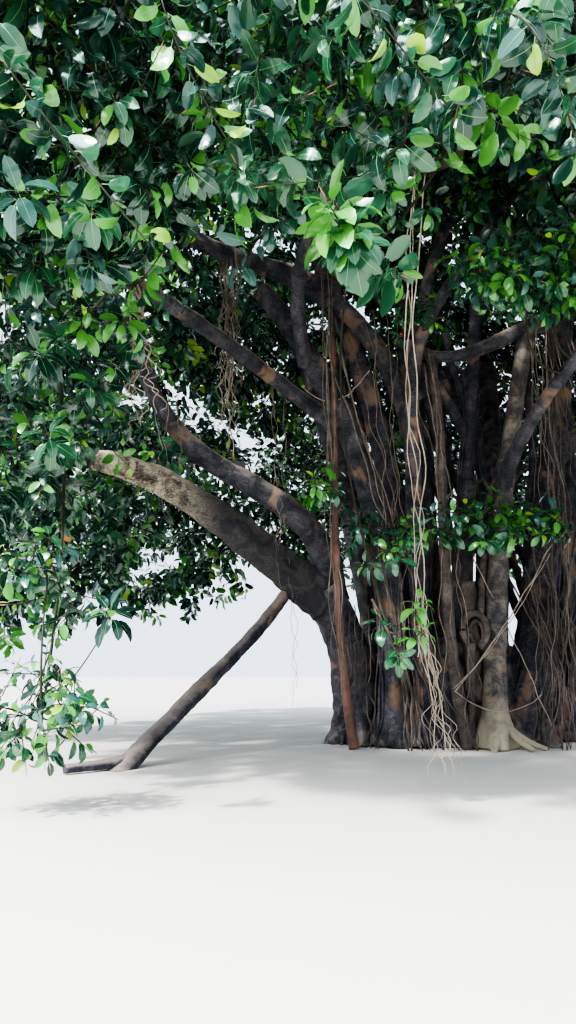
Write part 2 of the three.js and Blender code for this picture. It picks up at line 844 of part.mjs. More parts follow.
// Whether a thin solid shares more than a sliver with any of the others.
function cutsThrough(solid, others) {
  const box = solid.boundingBox();
  return others.some((other) => {
    if (!boxesMeet(box, other.boundingBox())) {
      return false;
    }
    return solid.intersect(other).volume() > SLIVER * solid.volume();
  });
}

// A twig as a three-sided tapering rod.
function twigSolid(from, to, thick, thin) {
  return bentCylinder(new THREE.LineCurve3(from, to), (share) => taper([thick, thin], share), 3, 1);
}

function growMass(mass) {
  const length = mass.size * SPRAY_LENGTH;
  let wood = bentCylinder(mass.stem, (share) => taper(mass.girth, share), 5, STEM_RINGS);
  const leaves = [];
  const nodes = STEM_PLACES.map((share) => ({
    at: mass.stem.getPointAt(share),
    heading: mass.stem.getTangentAt(share),
    radius: taper(mass.girth, share),
  }));
  let grown = 0;
  for (let index = 1; grown < mass.twigs && index < TWIGS_TRIED; index++) {
    const target = targetOf(mass, index);
    const parent = bestParent(nodes, target);
    const way = target.clone().sub(parent.at);
    if (way.length() < SHORTEST_TWIG * mass.size || !segmentClear(mass, parent.at, target, SPACE_MARGIN)) {
      continue;
    }
    way.normalize();
    const root = Math.min(parent.radius * SLIMMING, TWIG_ROOT);
    const thin = Math.min(root * NARROWING, TWIG_TIP);
    const twig = twigSolid(parent.at, target, root, thin);
    if (cutsThrough(twig, leaves)) {
      continue;
    }
    const sprays = SPRAY_PLACES.map((share, place) => {
      const base = parent.at.clone().lerp(target, share);
      const reach = length * taper([INNER_SPRAY, 1], share);
      const spray = placeSpray(mass, leaves, base, way, index + place * 2, reach);
      if (spray) {
        leaves.push(spray);
      }
      return spray;
    });
    if (sprays.every((spray) => spray === null)) {
      continue;
    }
    wood = wood.add(twig);
    nodes.push({ at: parent.at.clone().lerp(target, FORK), heading: way, radius: root * FORK_RADIUS });
    nodes.push({ at: target, heading: way, radius: thin });
    grown += 1;
  }
  return cutClear(leaves.reduce((all, leaf) => all.add(leaf), wood));
}

for (const mass of masses) {
  const solid = growMass(mass);
  made.push({ name: mass.name, solid, larger: solid, box: solid.boundingBox(), colour: COLOURS.leaf });
}

const tree = new THREE.Group();
for (const piece of made) {
  tree.add(meshOf(piece.name, piece.solid, piece.colour));
}
export default tree;
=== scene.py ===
import math

import bpy
import numpy as np
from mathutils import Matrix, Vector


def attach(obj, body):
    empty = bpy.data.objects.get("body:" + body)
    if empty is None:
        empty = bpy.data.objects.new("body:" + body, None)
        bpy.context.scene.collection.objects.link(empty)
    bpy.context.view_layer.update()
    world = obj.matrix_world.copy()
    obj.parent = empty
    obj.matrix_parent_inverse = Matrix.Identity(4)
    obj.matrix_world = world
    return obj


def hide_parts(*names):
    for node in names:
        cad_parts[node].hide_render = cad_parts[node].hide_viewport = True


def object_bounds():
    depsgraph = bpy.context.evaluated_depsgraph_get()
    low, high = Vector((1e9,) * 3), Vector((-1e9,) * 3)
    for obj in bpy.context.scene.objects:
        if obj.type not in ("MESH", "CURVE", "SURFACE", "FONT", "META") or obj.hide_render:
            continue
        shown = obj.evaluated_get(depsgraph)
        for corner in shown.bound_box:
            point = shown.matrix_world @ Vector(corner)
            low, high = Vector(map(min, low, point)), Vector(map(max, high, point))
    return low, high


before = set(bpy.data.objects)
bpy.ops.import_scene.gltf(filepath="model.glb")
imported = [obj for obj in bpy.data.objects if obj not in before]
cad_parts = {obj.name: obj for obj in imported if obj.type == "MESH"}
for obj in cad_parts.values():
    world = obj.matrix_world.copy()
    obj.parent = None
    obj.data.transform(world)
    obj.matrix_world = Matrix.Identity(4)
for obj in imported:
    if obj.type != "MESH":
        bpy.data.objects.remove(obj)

# An old rubber fig tree in metres, +Z up, standing on level ground at z = 0, with its front
# towards -Y. Every piece is made where it stands.
cad_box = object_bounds()
CAD_LOW = np.array(cad_box[0])
CAD_HIGH = np.array(cad_box[1])


# The stems and the fused trunk. A rubber fig of this age is many stems and thickened aerial roots
# that have grown together below, each wavy and fluted, under one thin smooth bark that wrinkles
# and swells rather than cracking. Their feet spread in a few root-like ribs.
FUSED_HEIGHT = 2.15
FOOT_FLARE = 0.6
PALE_FLARE = 0.9
FOOT_FLARE_HEIGHT = 0.42
RIB_DEPTH = 0.45
STOUT = 0.3
STEMS = {
    "left_stem": ([(-1.85, -0.23, -0.3), (-1.93, -0.25, 0.8), (-2.16, -0.28, 1.9),
                   (-2.65, -0.31, 2.82)], 0.39, 0.39),
    "leaning_stem": ([(-1.43, -0.85, -0.3), (-1.38, -0.85, 2.8), (-2.05, -0.85, 5.85),
                      (-3.85, -1.0, 9.0)], 0.28, 0.18),
    "dark_stem": ([(-0.9, -0.4, -0.3), (-0.98, -0.3, 3.5), (-1.56, -0.15, 6.9),
                   (-2.75, 0.0, 10.5)], 0.29, 0.17),
    "inner_stem": ([(-0.5, -0.15, -0.3), (-0.69, -0.3, 2.9), (-0.8, -0.52, 6.1),
                    (-2.35, -0.65, 8.95)], 0.25, 0.17),
    "upright_stem": ([(-0.88, -1.12, -0.3), (-0.84, -1.0, 3.6), (-0.76, -1.05, 7.4),
                      (0.25, -0.85, 11.0)], 0.17, 0.11),
    "middle_stem": ([(-0.12, -0.35, -0.3), (0.15, -0.35, 3.3), (0.48, -0.45, 6.9),
                     (0.8, -0.45, 10.5)], 0.22, 0.11),
    "pale_stem": ([(0.4, -1.33, -0.3), (0.54, -1.26, 2.5), (0.95, -1.08, 5.3),
                   (1.55, -0.96, 8.12)], 0.2, 0.16),
    "right_stem": ([(1.06, -0.5, -0.3), (1.68, -0.4, 3.1), (2.25, -0.25, 6.5),
                    (2.7, 0.0, 9.6)], 0.4, 0.2),
    "far_right_stem": ([(2.05, 0.5, -0.3), (2.55, 0.6, 3.3), (2.75, 0.75, 6.9),
                        (2.65, 0.9, 10.5)], 0.33, 0.16),
    "back_right_stem": ([(0.9, 1.0, -0.3), (1.1, 1.35, 2.7), (1.5, 2.0, 5.9),
                         (1.8, 3.1, 9.0)], 0.4, 0.18),
    "back_stem": ([(-0.2, 1.15, -0.3), (-0.25, 1.35, 3.3), (-0.35, 1.6, 7.0),
                   (-0.5, 2.1, 10.5)], 0.38, 0.17),
    "back_left_stem": ([(-1.2, 0.75, -0.3), (-1.45, 1.05, 2.6), (-2.05, 1.7, 5.8),
                        (-2.9, 2.7, 8.9)], 0.4, 0.18),
}
FORKED = "left_stem"
PALE = "pale_stem"
BARK_STEP = 0.045
BARK_STRIP = 0.042


def curve_through(places, count):
    """The smooth cubic that starts at the first of four places, passes the next two at a third
    and two thirds of its parameter, and ends at the last, at evenly spaced lengths along it."""
    root, first, second, tip = (np.array(place, float) for place in places)
    bend = (-5 * root + 18 * first - 9 * second + 2 * tip) / 6
    turn = (2 * root - 9 * first + 18 * second - 5 * tip) / 6
    t = np.linspace(0, 1, 400)[:, None]
    line = root * (1 - t) ** 3 + 3 * bend * t * (1 - t) ** 2 + 3 * turn * t ** 2 * (1 - t) + tip * t ** 3
    return respaced(line, count)


def along_line(line, spots):
    """The places on a line at fractional point numbers, in an array of any shape."""
    return np.stack([np.interp(spots, np.arange(len(line)), line[:, axis]) for axis in range(3)], axis=-1)


def respaced(line, count):
    """The same line through count places at equal lengths along it."""
    run = np.concatenate([[0], np.cumsum(np.linalg.norm(np.diff(line, axis=0), axis=1))])
    return along_line(line, np.interp(np.linspace(0, run[-1], count), run, np.arange(len(line))))


def length_of(line):
    """The length along a line, as the sum of the gaps between its places."""
    return np.linalg.norm(np.diff(line, axis=0), axis=1).sum()


def unit(ways):
    """Each direction divided by its own length."""
    return ways / np.linalg.norm(ways, axis=-1, keepdims=True)


def hold_above_ground(points):
    """Lifts every point that lies below the ground up to it."""
    points[..., 2] = np.maximum(points[..., 2], 0)


def frames_along(lines):
    """The heading at each place of each line, and two directions square to it and to each other.
    The first is square to the world axis that the line keeps furthest from."""
    heading = unit(np.gradient(lines, axis=-2))
    mean = np.abs(heading.mean(axis=-2, keepdims=True))
    side = unit(np.cross(np.eye(3)[np.argmin(mean, axis=-1)], heading))
    return heading, side, np.cross(heading, side)


def lumps(points, size, seed):
    """Smooth lumps from -1 to 1: a scrambled number at each corner of a cubic lattice of this
    size, blended over each cell by 3t^2 - 2t^3 along each axis."""
    place = points / size
    cell = np.floor(place).astype(np.int64)
    share = place - cell
    share = share * share * (3 - 2 * share)
    total = np.zeros(points.shape[:-1])
    for corner in np.ndindex(2, 2, 2):
        weight = np.prod(np.where(corner, share, 1 - share), axis=-1)
        at = (cell + corner) * (73856093, 19349663, 83492791)
        scrambled = (at[..., 0] ^ at[..., 1] ^ at[..., 2]) + seed * 7919
        scrambled = (scrambled ^ (scrambled >> 13)) * 1274126177 & 0xFFFFFF
        total += weight * (scrambled / 0x7FFFFF - 1)
    return total


def bark_grid(line, radius, sides, seed, rough=1.0):
    """A bark surface over angle and length: the radius is swelled by slow flutes, waves of two,
    three and five to a turn that wander with the length, and by lumps of 0.4 m, 0.14 m and 0.05
    m. radius is one number a ring, or a ring by sides array."""
    heading, side, rise = frames_along(line)
    angle = np.linspace(0, 2 * np.pi, sides, endpoint=False)[None, :]
    run = np.linspace(0, length_of(line), len(line))[:, None]
    radius = np.broadcast_to(np.reshape(radius, (len(line), -1)), (len(line), sides))
    flutes = 0.08 * np.sin(2 * angle + seed + 0.5 * run)
    flutes = flutes + 0.06 * np.sin(3 * angle + 2.1 * seed - 0.8 * run)
    flutes = flutes + 0.045 * np.sin(5 * angle + 3.7 * seed + 1.1 * run)
    out = np.cos(angle)[..., None] * side[:, None] + np.sin(angle)[..., None] * rise[:, None]
    points = line[:, None] + out * (radius * (1 + rough * flutes))[..., None]
    swell = 0.1 * lumps(points, 0.4, seed) + 0.055 * lumps(points, 0.14, seed + 1)
    fine = 0.007 * lumps(points, 0.05, seed + 2)
    return points + out * (rough * (radius * swell + fine))[..., None]


def grid_faces(rings, sides, first=0):
    """The faces of a closed-round grid of rings by sides points, numbered from first, and of its
    two ends."""
    at = first + np.arange(rings * sides).reshape(rings, sides)
    after = np.roll(at, -1, axis=1)
    walls = np.stack([at[:-1], after[:-1], after[1:], at[1:]], axis=-1).reshape(-1, 4)
    ends = np.stack([at[0][::-1], at[-1]])
    return walls, ends


def add_piece(name, grids, material, nodes=(), extra=()):
    """One mesh piece from closed-round grids of points, and from extra pairs of points and
    faces."""
    points = []
    faces = []
    first = 0
    for grid in grids:
        walls, ends = grid_faces(grid.shape[0], grid.shape[1], first)
        points.append(grid.reshape(-1, 3))
        faces += [walls, ends]
        first += grid.shape[0] * grid.shape[1]
    for some, corners in extra:
        points.append(some)
        faces += [face + first for face in corners]
        first += len(some)
    return add_mesh(name, np.concatenate(points), faces, material, nodes)


def add_mesh(name, points, faces, material, nodes):
    """A smooth-shaded piece at the origin from an array of points and arrays of faces, each array
    of faces with the same number of corners. Faces of more than four corners are flat ends."""
    corners = np.concatenate([face.reshape(-1) for face in faces])
    sizes = np.concatenate([np.full(len(face), face.shape[1]) for face in faces])
    mesh = bpy.data.meshes.new(name)
    mesh.vertices.add(len(points))
    mesh.vertices.foreach_set("co", points.astype(np.float32).ravel())
    mesh.loops.add(len(corners))
    mesh.loops.foreach_set("vertex_index", corners.astype(np.int32))
    mesh.polygons.add(len(sizes))
    mesh.polygons.foreach_set("loop_start", (np.cumsum(sizes) - sizes).astype(np.int32))
    mesh.update(calc_edges=True)
    flat = mesh.attributes.new("sharp_face", "BOOLEAN", "FACE")
    flat.data.foreach_set("value", sizes > 4)
    mesh.materials.append(material)
    piece = bpy.data.objects.new(name, mesh)
    bpy.context.scene.collection.objects.link(piece)
    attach(piece, "root")
    if nodes:
        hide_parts(*nodes)
    return piece


def linear(colour):
    """An sRGB hex colour as linear red, green, blue and alpha."""
    parts = [int(colour[i:i + 2], 16) / 255 for i in (1, 3, 5)]
    return [p / 12.92 if p <= 0.04045 else ((p + 0.055) / 1.055) ** 2.4 for p in parts] + [1]


def add_node(tree, kind, settings=None, links=None, values=None):
    """One shader node, with its settings, its links as {input: another node's output} and its
    values as {input: number or colour}."""
    node = tree.nodes.new(kind)
    for key, value in (settings or {}).items():
        setattr(node, key, value)
    for key, value in (values or {}).items():
        node.inputs[key].default_value = value
    for key, output in (links or {}).items():
        tree.links.new(output, node.inputs[key])
    return node


def new_material(name):
    """A material with an empty node tree, and that tree."""
    material = bpy.data.materials.new(name)
    material.use_nodes = True
    material.node_tree.nodes.clear()
    return material, material.node_tree


# The colour sockets of a Mix node go by number, because its number sockets share their names.
MIX_A, MIX_B, MIX_RESULT = 6, 7, 2


def bark_material(name, stops, blotch_mm, crack_mm, roughness, depth_mm, painted_sun_top=None, low=None, painted_sun_flecks=None):
    """Thin corky bark, rough and never glossy: blotches of weathering and lichen, a finer mottle,
    and wrinkles across the stem that catch the light. Sizes are real ones in millimetres. The
    colour for the upper sides is painted sunlight, and so is the one for flecks two thirds of a
    metre apart. low is a colour for one end, with the places in metres along an axis at which
    it is whole and gone, that axis and its strength. The edge of low is ragged, because the
    blotches shift it."""
    material, tree = new_material(name)
    coordinates = add_node(tree, "ShaderNodeTexCoord")
    place = coordinates.outputs["Object"]
    blotches = add_node(tree, "ShaderNodeTexNoise", links={"Vector": place},
                        values={"Scale": 1000 / blotch_mm, "Detail": 7, "Roughness": 0.7, "Distortion": 0.4})
    squash = add_node(tree, "ShaderNodeMapping", links={"Vector": place}, values={"Scale": (1, 1, 2.6)})
    wrinkles = add_node(tree, "ShaderNodeTexNoise", links={"Vector": squash.outputs["Vector"]},
                        values={"Scale": 1000 / crack_mm, "Detail": 5, "Roughness": 0.7, "Distortion": 0.6})
    mixed = add_node(tree, "ShaderNodeMix", {"data_type": "FLOAT"},
                     {"A": blotches.outputs["Fac"], "B": wrinkles.outputs["Fac"]}, {"Factor": 0.4})
    ramp = add_node(tree, "ShaderNodeValToRGB", links={"Fac": mixed.outputs["Result"]})
    while len(ramp.color_ramp.elements) < len(stops):
        ramp.color_ramp.elements.new(0.5)
    for element, (spot, shade) in zip(ramp.color_ramp.elements, stops):
        element.position = spot
        element.color = linear(shade)
    tints = []
    # Flecks of painted sunlight, about two thirds of a metre apart.
    if painted_sun_flecks:
        skin = add_node(tree, "ShaderNodeTexNoise", links={"Vector": place},
                        values={"Scale": 1.5, "Detail": 3, "Distortion": 0.7})
        shown = add_node(tree, "ShaderNodeMapRange", links={"Value": skin.outputs["Fac"]},
                         values={"From Min": 0.57, "From Max": 0.66, "To Min": 0.0, "To Max": 0.55})
        tints.append((shown.outputs["Result"], painted_sun_flecks))
    # Painted sunlight on the upper sides: lighter the more a side faces up.
    if painted_sun_top:
        lift = add_node(tree, "ShaderNodeSeparateXYZ", links={"Vector": coordinates.outputs["Normal"]})
        sun_top_sum = add_node(tree, "ShaderNodeMath", {"operation": "ADD"},
                          {0: lift.outputs["Z"], 1: blotches.outputs["Fac"]})
        sun_top_share = add_node(tree, "ShaderNodeMapRange", links={"Value": sun_top_sum.outputs["Value"]},
                        values={"From Min": 0.7, "From Max": 1.35, "To Min": 0.0, "To Max": 0.8})
        tints.append((sun_top_share.outputs["Result"], painted_sun_top))
    # A colour for one end: painted shade near the trunk on the lowest bough, partly painted sunlight at the
    # pale stem's foot, and the reddish root's own young bark.
    if low:
        tint, whole, gone, axis, strength = low
        parts = add_node(tree, "ShaderNodeSeparateXYZ", links={"Vector": place})
        foot = add_node(tree, "ShaderNodeMapRange", links={"Value": parts.outputs[axis]},
                        values={"From Min": whole, "From Max": gone, "To Min": strength, "To Max": 0.0})
        uneven = add_node(tree, "ShaderNodeMath", {"operation": "MULTIPLY_ADD"},
                          {0: blotches.outputs["Fac"]}, {1: 1.5, 2: -0.75})
        ragged = add_node(tree, "ShaderNodeMath", {"operation": "ADD", "use_clamp": True},
                          {0: foot.outputs["Result"], 1: uneven.outputs["Value"]})
        tints.append((ragged.outputs["Value"], tint))
    colour = ramp.outputs["Color"]
    for amount, tint in tints:
        colour = add_node(tree, "ShaderNodeMix", {"data_type": "RGBA"}, {"Factor": amount, MIX_A: colour},
                          {MIX_B: linear(tint)}).outputs[MIX_RESULT]
    dull = add_node(tree, "ShaderNodeMapRange", links={"Value": wrinkles.outputs["Fac"]},
                    values={"To Min": roughness - 0.1, "To Max": roughness + 0.1})
    bump = add_node(tree, "ShaderNodeBump", links={"Height": wrinkles.outputs["Fac"]},
                    values={"Strength": 1.0, "Distance": depth_mm / 1000})
    shader = add_node(tree, "ShaderNodeBsdfPrincipled",
                      links={"Base Color": colour, "Roughness": dull.outputs["Result"],
                             "Normal": bump.outputs["Normal"]},
                      values={"IOR": 1.45, "Specular IOR Level": 0.35})
    add_node(tree, "ShaderNodeOutputMaterial", links={"Surface": shader.outputs["BSDF"]})
    return material


# The stems' corky bark has weathered to a dull grey-brown, and is darkened further as painted shade,
# with painted sunlight on its upper sides and in flecks. The lowest bough's carries painted sunlight,
# mottled tan and buff, out along it, and dark painted shade near the trunk. The pale stem's is
# browner, and buff at its foot, a buff that is partly its own and partly painted sunlight.
DARK_BARK = bark_material("weathered_shaded_fig_bark",
                          [(0.34, "#1c1c21"), (0.47, "#3b3b42"), (0.58, "#615e63"), (0.72, "#959090")],
                          420, 45, 0.78, 20, painted_sun_top="#9f9289", painted_sun_flecks="#a8866f")
SUNLIT_TAN_BARK = bark_material("sunlit_mottled_tan_bark",
                         [(0.4, "#37332f"), (0.47, "#7f766a"), (0.53, "#c2b6a1"), (0.6, "#eee4d0")],
                         330, 50, 0.76, 18, painted_sun_top="#dccfb8", low=("#37353a", -4.5, -6.0, "X", 0.95))
PALE_BARK = bark_material("pale_stem_bark",
                          [(0.32, "#2b2a2d"), (0.46, "#4f4b4c"), (0.58, "#77706b"), (0.7, "#a0978d")],
                          360, 45, 0.76, 18, painted_sun_flecks="#a3866f", low=("#beb39b", 0.25, 1.2, "Z", 0.8))

limbs = {}


def keep_limb(name, line, radii):
    """Remembers a limb as its middle line and radii, for what grows from it or keeps clear of
    it."""
    limbs[name] = (line, np.broadcast_to(radii, len(line)).astype(float))


def limb_at(name, share):
    """The place, heading and radius at a share of a limb's length."""
    line, radii = limbs[name]
    spot = share * (len(line) - 1)
    low = min(int(spot), len(line) - 2)
    place = line[low] + (line[low + 1] - line[low]) * (spot - low)
    heading = line[low + 1] - line[low]
    return place, heading / np.linalg.norm(heading), np.interp(spot, np.arange(len(line)), radii)


def foot_spread(height, angle, girth, widest=FOOT_FLARE):
    """How many times wider a stem of this girth is at a height and angle: 1 + widest dying away
    with height, deeper on three or four ribs."""
    ribs = 4 if girth > STOUT else 3
    flare = widest * np.exp(-np.maximum(height, 0) / FOOT_FLARE_HEIGHT)
    return 1 + flare * (1 + RIB_DEPTH * np.cos(ribs * angle + girth * 1000))


trunk_grids = []
for count, (name, (path, thick, thin)) in enumerate(STEMS.items()):
    line = curve_through(path, 400)
    above = np.flatnonzero(line[:, 2] >= 0)
    rings = int(length_of(line[above]) / BARK_STEP)
    sides = int(np.clip(2 * np.pi * thick / BARK_STRIP, 22, 52))
    middle = respaced(line[above], rings)
    girths = np.linspace(np.interp(above[0], (0, 399), (thick, thin)), thin, rings)
    turn = np.linspace(0, 2 * np.pi, sides, endpoint=False)[None, :]
    spread = foot_spread(middle[:, 2:], turn, thick, PALE_FLARE if name == PALE else FOOT_FLARE)
    grid = bark_grid(middle, girths[:, None] * spread, sides, count + 3)
    hold_above_ground(grid)
    keep_limb(name, middle, girths)
    parting = rings if name == FORKED else int(np.searchsorted(middle[:, 2], FUSED_HEIGHT))
    bark, slot = (PALE_BARK, "pale_bark") if name == PALE else (DARK_BARK, "bark")
    if name == PALE:
        add_piece("pale_foot_bark", [grid[:parting + 1]], bark, ["trunk"])
    else:
        trunk_grids.append(grid[:parting + 1])
    if name != FORKED:
        add_piece(f"{name}_bark", [grid[parting:]], bark, [name])

# The old heart between the stems, a ribbed mass of roots that have grown together, widest at the
# ground and rounded over at its top. It has the stems' bark and stands in the same ground.
HEART_CENTRE = (-0.05, 0.12)
HEART_RADII = (1.45, 0.93)
HEART_FOOT = 1.45
HEART_HEIGHT = 2.0
heart_turn = np.linspace(0, 2 * np.pi, 300, endpoint=False)[None, :]
heart_rise = np.linspace(0, 1, 70)[:, None]
heart_ribs = 0.07 * np.abs(np.sin(9 * heart_turn + 1.5 * heart_rise))
heart_ribs = heart_ribs + 0.04 * np.abs(np.sin(19 * heart_turn - heart_rise))
heart_reach = (HEART_FOOT + (1 - HEART_FOOT) * heart_rise ** 0.6) * (0.9 + heart_ribs)
heart_reach = heart_reach * np.sqrt(np.clip(1 - np.maximum(heart_rise - 0.8, 0) ** 2 / 0.042, 0.02, 1))
heart = np.stack([HEART_CENTRE[0] + HEART_RADII[0] * heart_reach * np.cos(heart_turn),
                  HEART_CENTRE[1] + HEART_RADII[1] * heart_reach * np.sin(heart_turn),
                  HEART_HEIGHT * heart_rise + 0 * heart_turn], axis=-1)
heart[1:-1] += 0.03 * lumps(heart[1:-1], 0.3, 5)[..., None] * (1, 1, 0)
trunk_grids.append(heart)
add_piece("trunk_bark", trunk_grids, DARK_BARK, ["trunk"])


# The boughs. Each grows out of the side of its stem with a swollen collar, thins as it reaches
# out, and ends where it enters the foliage. The lowest one carries painted sunlight, mottled tan
# and buff, out along it, and dark painted shade near the trunk.
BOUGHS = {
    "low_left_bough": ([(-2.56, -0.3, 2.7), (-4.0, -0.75, 3.8), (-5.45, -1.35, 4.75),
                        (-6.9, -1.95, 5.13)], 0.39, 0.19),
    "second_left_bough": ([(-2.42, -0.23, 2.72), (-3.3, -0.5, 4.5), (-4.9, -1.05, 5.42),
                           (-6.05, -2.3, 7.2)], 0.27, 0.13),
    "left_back_bough": ([(-4.35, -0.83, 5.23), (-5.3, 0.7, 5.9), (-6.4, 1.7, 6.45),
                         (-7.3, 2.9, 6.9)], 0.17, 0.1),
    "upper_left_bough": ([(-2.35, -0.06, 9.35), (-3.6, -0.85, 9.52), (-4.75, -1.6, 9.54),
                          (-5.5, -2.25, 9.85)], 0.27, 0.14),
    "fore_left_bough": ([(-2.25, -0.87, 6.05), (-3.6, -1.5, 6.9), (-4.75, -3.2, 7.15),
                         (-5.7, -5.1, 7.0)], 0.16, 0.1),
    "front_left_bough": ([(-2.95, -0.91, 7.45), (-3.1, -2.7, 8.3), (-2.65, -4.7, 8.45),
                          (-1.5, -6.9, 7.6)], 0.15, 0.095),
    "forward_bough": ([(-0.77, -1.05, 6.6), (-0.7, -1.7, 7.7), (-0.1, -2.6, 8.65),
                       (0.5, -3.5, 9.3)], 0.115, 0.09),
    "joining_bough": ([(2.48, -0.13, 8.5), (1.5, -0.92, 8.15), (0.4, -1.13, 7.6),
                       (-0.65, -1.08, 7.62)], 0.2, 0.11),
    "crossing_limb": ([(0.37, -0.42, 5.9), (0.15, -0.55, 6.38), (-0.2, -0.75, 6.88),
                       (-0.64, -1.01, 7.35)], 0.1, 0.085),
    "front_right_bough": ([(0.83, -1.13, 4.8), (1.2, -2.7, 6.0), (2.0, -4.2, 7.0),
                           (2.9, -5.6, 7.7)], 0.14, 0.095),
    "high_right_bough": ([(2.33, -0.21, 7.1), (2.65, -1.1, 8.0), (2.95, -2.0, 8.75),
                          (3.2, -2.9, 9.3)], 0.14, 0.095),
    "right_bough": ([(2.1, -0.32, 5.6), (3.4, -1.0, 6.5), (4.8, -1.6, 7.0),
                     (6.2, -2.1, 7.2)], 0.19, 0.105),
    "side_bough": ([(2.6, 0.65, 4.3), (3.7, 1.1, 5.5), (4.9, 1.6, 6.3),
                    (6.1, 2.15, 6.85)], 0.2, 0.11),
    "right_back_bough": ([(1.25, 1.6, 4.0), (1.9, 2.8, 5.3), (2.6, 4.2, 6.3),
                          (3.2, 5.6, 7.0)], 0.21, 0.11),
    "back_left_bough": ([(-0.29, 1.48, 4.6), (-0.6, 2.9, 5.7), (-0.9, 4.4, 6.5),
                         (-1.15, 6.0, 7.0)], 0.2, 0.11),
}
TAN = "low_left_bough"
COLLAR_SWELL = 0.28
COLLAR_LENGTH = 0.4


def bough_grid(path, thick, thin, seed, collar=COLLAR_SWELL):
    """A limb's middle line, radii and bark grid. Its root is swelled by a collar that dies away
    along it."""
    length = length_of(curve_through(path, 60))
    line = curve_through(path, int(length / BARK_STEP))
    run = np.linspace(0, length, len(line))
    radii = np.linspace(thick, thin, len(line))
    sides = int(np.clip(2 * np.pi * thick / BARK_STRIP, 16, 52))
    return line, radii, bark_grid(line, radii * (1 + collar * np.exp(-run / COLLAR_LENGTH)), sides, seed)


for count, (name, (path, thick, thin)) in enumerate(BOUGHS.items()):
    line, radii, grid = bough_grid(path, thick, thin, count + 31)
    keep_limb(name, line, radii)
    bark, slot = (SUNLIT_TAN_BARK, "pale_bark") if name == TAN else (DARK_BARK, "bark")
    add_piece(f"{name}_bark", [grid], bark, [name])


# The limb that leans from the low left bough down to the ground, with a side branch that lies there.
# It is old wood in the same dark bark as the boughs, thickest below, and bears no leaves.
PROP_MAIN = [(-3.27, -0.51, 2.92), (-4.05, -1.45, 1.87), (-4.85, -2.65, 0.95), (-5.75, -4.25, -0.15)]
PROP_SIDE = [(-5.33, -3.5, 0.42), (-5.55, -3.85, 0.15), (-5.85, -4.25, 0.085), (-6.3, -4.7, 0.075)]
prop_line, prop_radii, prop_grid = bough_grid(PROP_MAIN, 0.115, 0.15, 51, 0)
side_grid = bough_grid(PROP_SIDE, 0.09, 0.06, 52, 0)[2]
keep_limb("prop_limb", prop_line, prop_radii)
for grid in (prop_grid, side_grid):
    hold_above_ground(grid)
add_piece("prop_limb_bark", [prop_grid, side_grid], DARK_BARK, ["prop_limb"])


# Pillar roots. Aerial roots that reached the ground years ago and thickened into props, smoother
# than the stems, one of them reddish at its foot where its young bark shows. Each has its foot, a
# place a third of the way up, the limb it grew from, the share of that, and its radii.
PILLARS = {
    "red_pillar_root": ((-2.08, -1.4), (-2.4, -1.45), "upper_left_bough", 0.03, (0.082, 0.046)),
    "front_pillar_root": ((-0.02, -1.35), (-0.38, -1.38), "joining_bough", 0.95, (0.12, 0.08)),
    "right_pillar_root": ((2.45, -1.5), (2.55, -1.3), "right_bough", 0.26, (0.12, 0.08)),
}
# Younger bark is thinner and smoother. On the pillars it is brown-grey, and one is still reddish,
# with flecks of painted sunlight.
ROOT_BARK = bark_material("aerial_root_bark",
                          [(0.3, "#2f2b2b"), (0.45, "#524a47"), (0.58, "#766b64"), (0.7, "#9f9389")],
                          300, 30, 0.8, 9)
RED_BARK = bark_material("reddish_root_bark",
                         [(0.3, "#2c2422"), (0.45, "#50423d"), (0.58, "#75625a"), (0.72, "#9a8479")],
                         340, 34, 0.76, 9, painted_sun_flecks="#a87a68", low=("#7b5850", 2.4, 5.6, "Z", 0.6))

for count, (name, (foot, waist, bearer, share, girths)) in enumerate(PILLARS.items()):
    top = limb_at(bearer, share)[0]
    shoulder = (0.9 * waist[0] + 0.1 * top[0], 0.9 * waist[1] + 0.1 * top[1], 0.7 * top[2])
    line = curve_through([(*foot, -0.3), (*waist, 0.33 * top[2]), shoulder, tuple(top)], 190)
    radii = np.linspace(*girths, len(line))
    kept = line[:, 2] >= 0
    flare = 1 + 0.2 * np.exp(-np.maximum(line[:, 2], 0) / 0.25)
    grid = bark_grid(line[kept], (radii * flare)[kept], 18, count + 61, 0.8)
    hold_above_ground(grid)
    keep_limb(name, line[kept], radii[kept])
    bark, slot = (RED_BARK, "red_root") if name == "red_pillar_root" else (ROOT_BARK, "aerial_roots")
    add_piece(f"{name}_bark", [grid], bark, [name])


# Roots that have come down against the stems and grown on to them. Thick ones are half sunk in the
# bark as folds, and thin ones run down over it side by side. All splay as they enter the ground.
# Each stem has so many thick ones and so many thin ones.
CLASPING = {"left_stem": (4, 5), "leaning_stem": (6, 10), "dark_stem": (6, 9), "inner_stem": (4, 7),
            "upright_stem": (4, 7), "middle_stem": (5, 8), "right_stem": (8, 11), "far_right_stem": (6, 9),
            "back_right_stem": (6, 8), "back_stem": (6, 8), "back_left_stem": (6, 8)}
THICK, THIN = 0, 1
CLASP_RINGS = 60
random = np.random.default_rng(4612)


def meander(count, rings, waves, reach):
    """Sideways wander for many lines: three sine waves of growing number and falling height, each
    with its own phase, fading to nothing at the upper end."""
    share = np.linspace(0, 1, rings)[None, :, None]
    wander = np.zeros((count, rings, 3))
    for order in range(1, 4):
        phase = random.uniform(0, 2 * np.pi, (count, 1, 3))
        beat = waves * order * random.uniform(0.7, 1.3, (count, 1, 1))
        wander += np.sin(2 * np.pi * beat * share + phase) / order
    wander[..., 2] *= 0.2
    return wander * reach * np.sqrt(share)


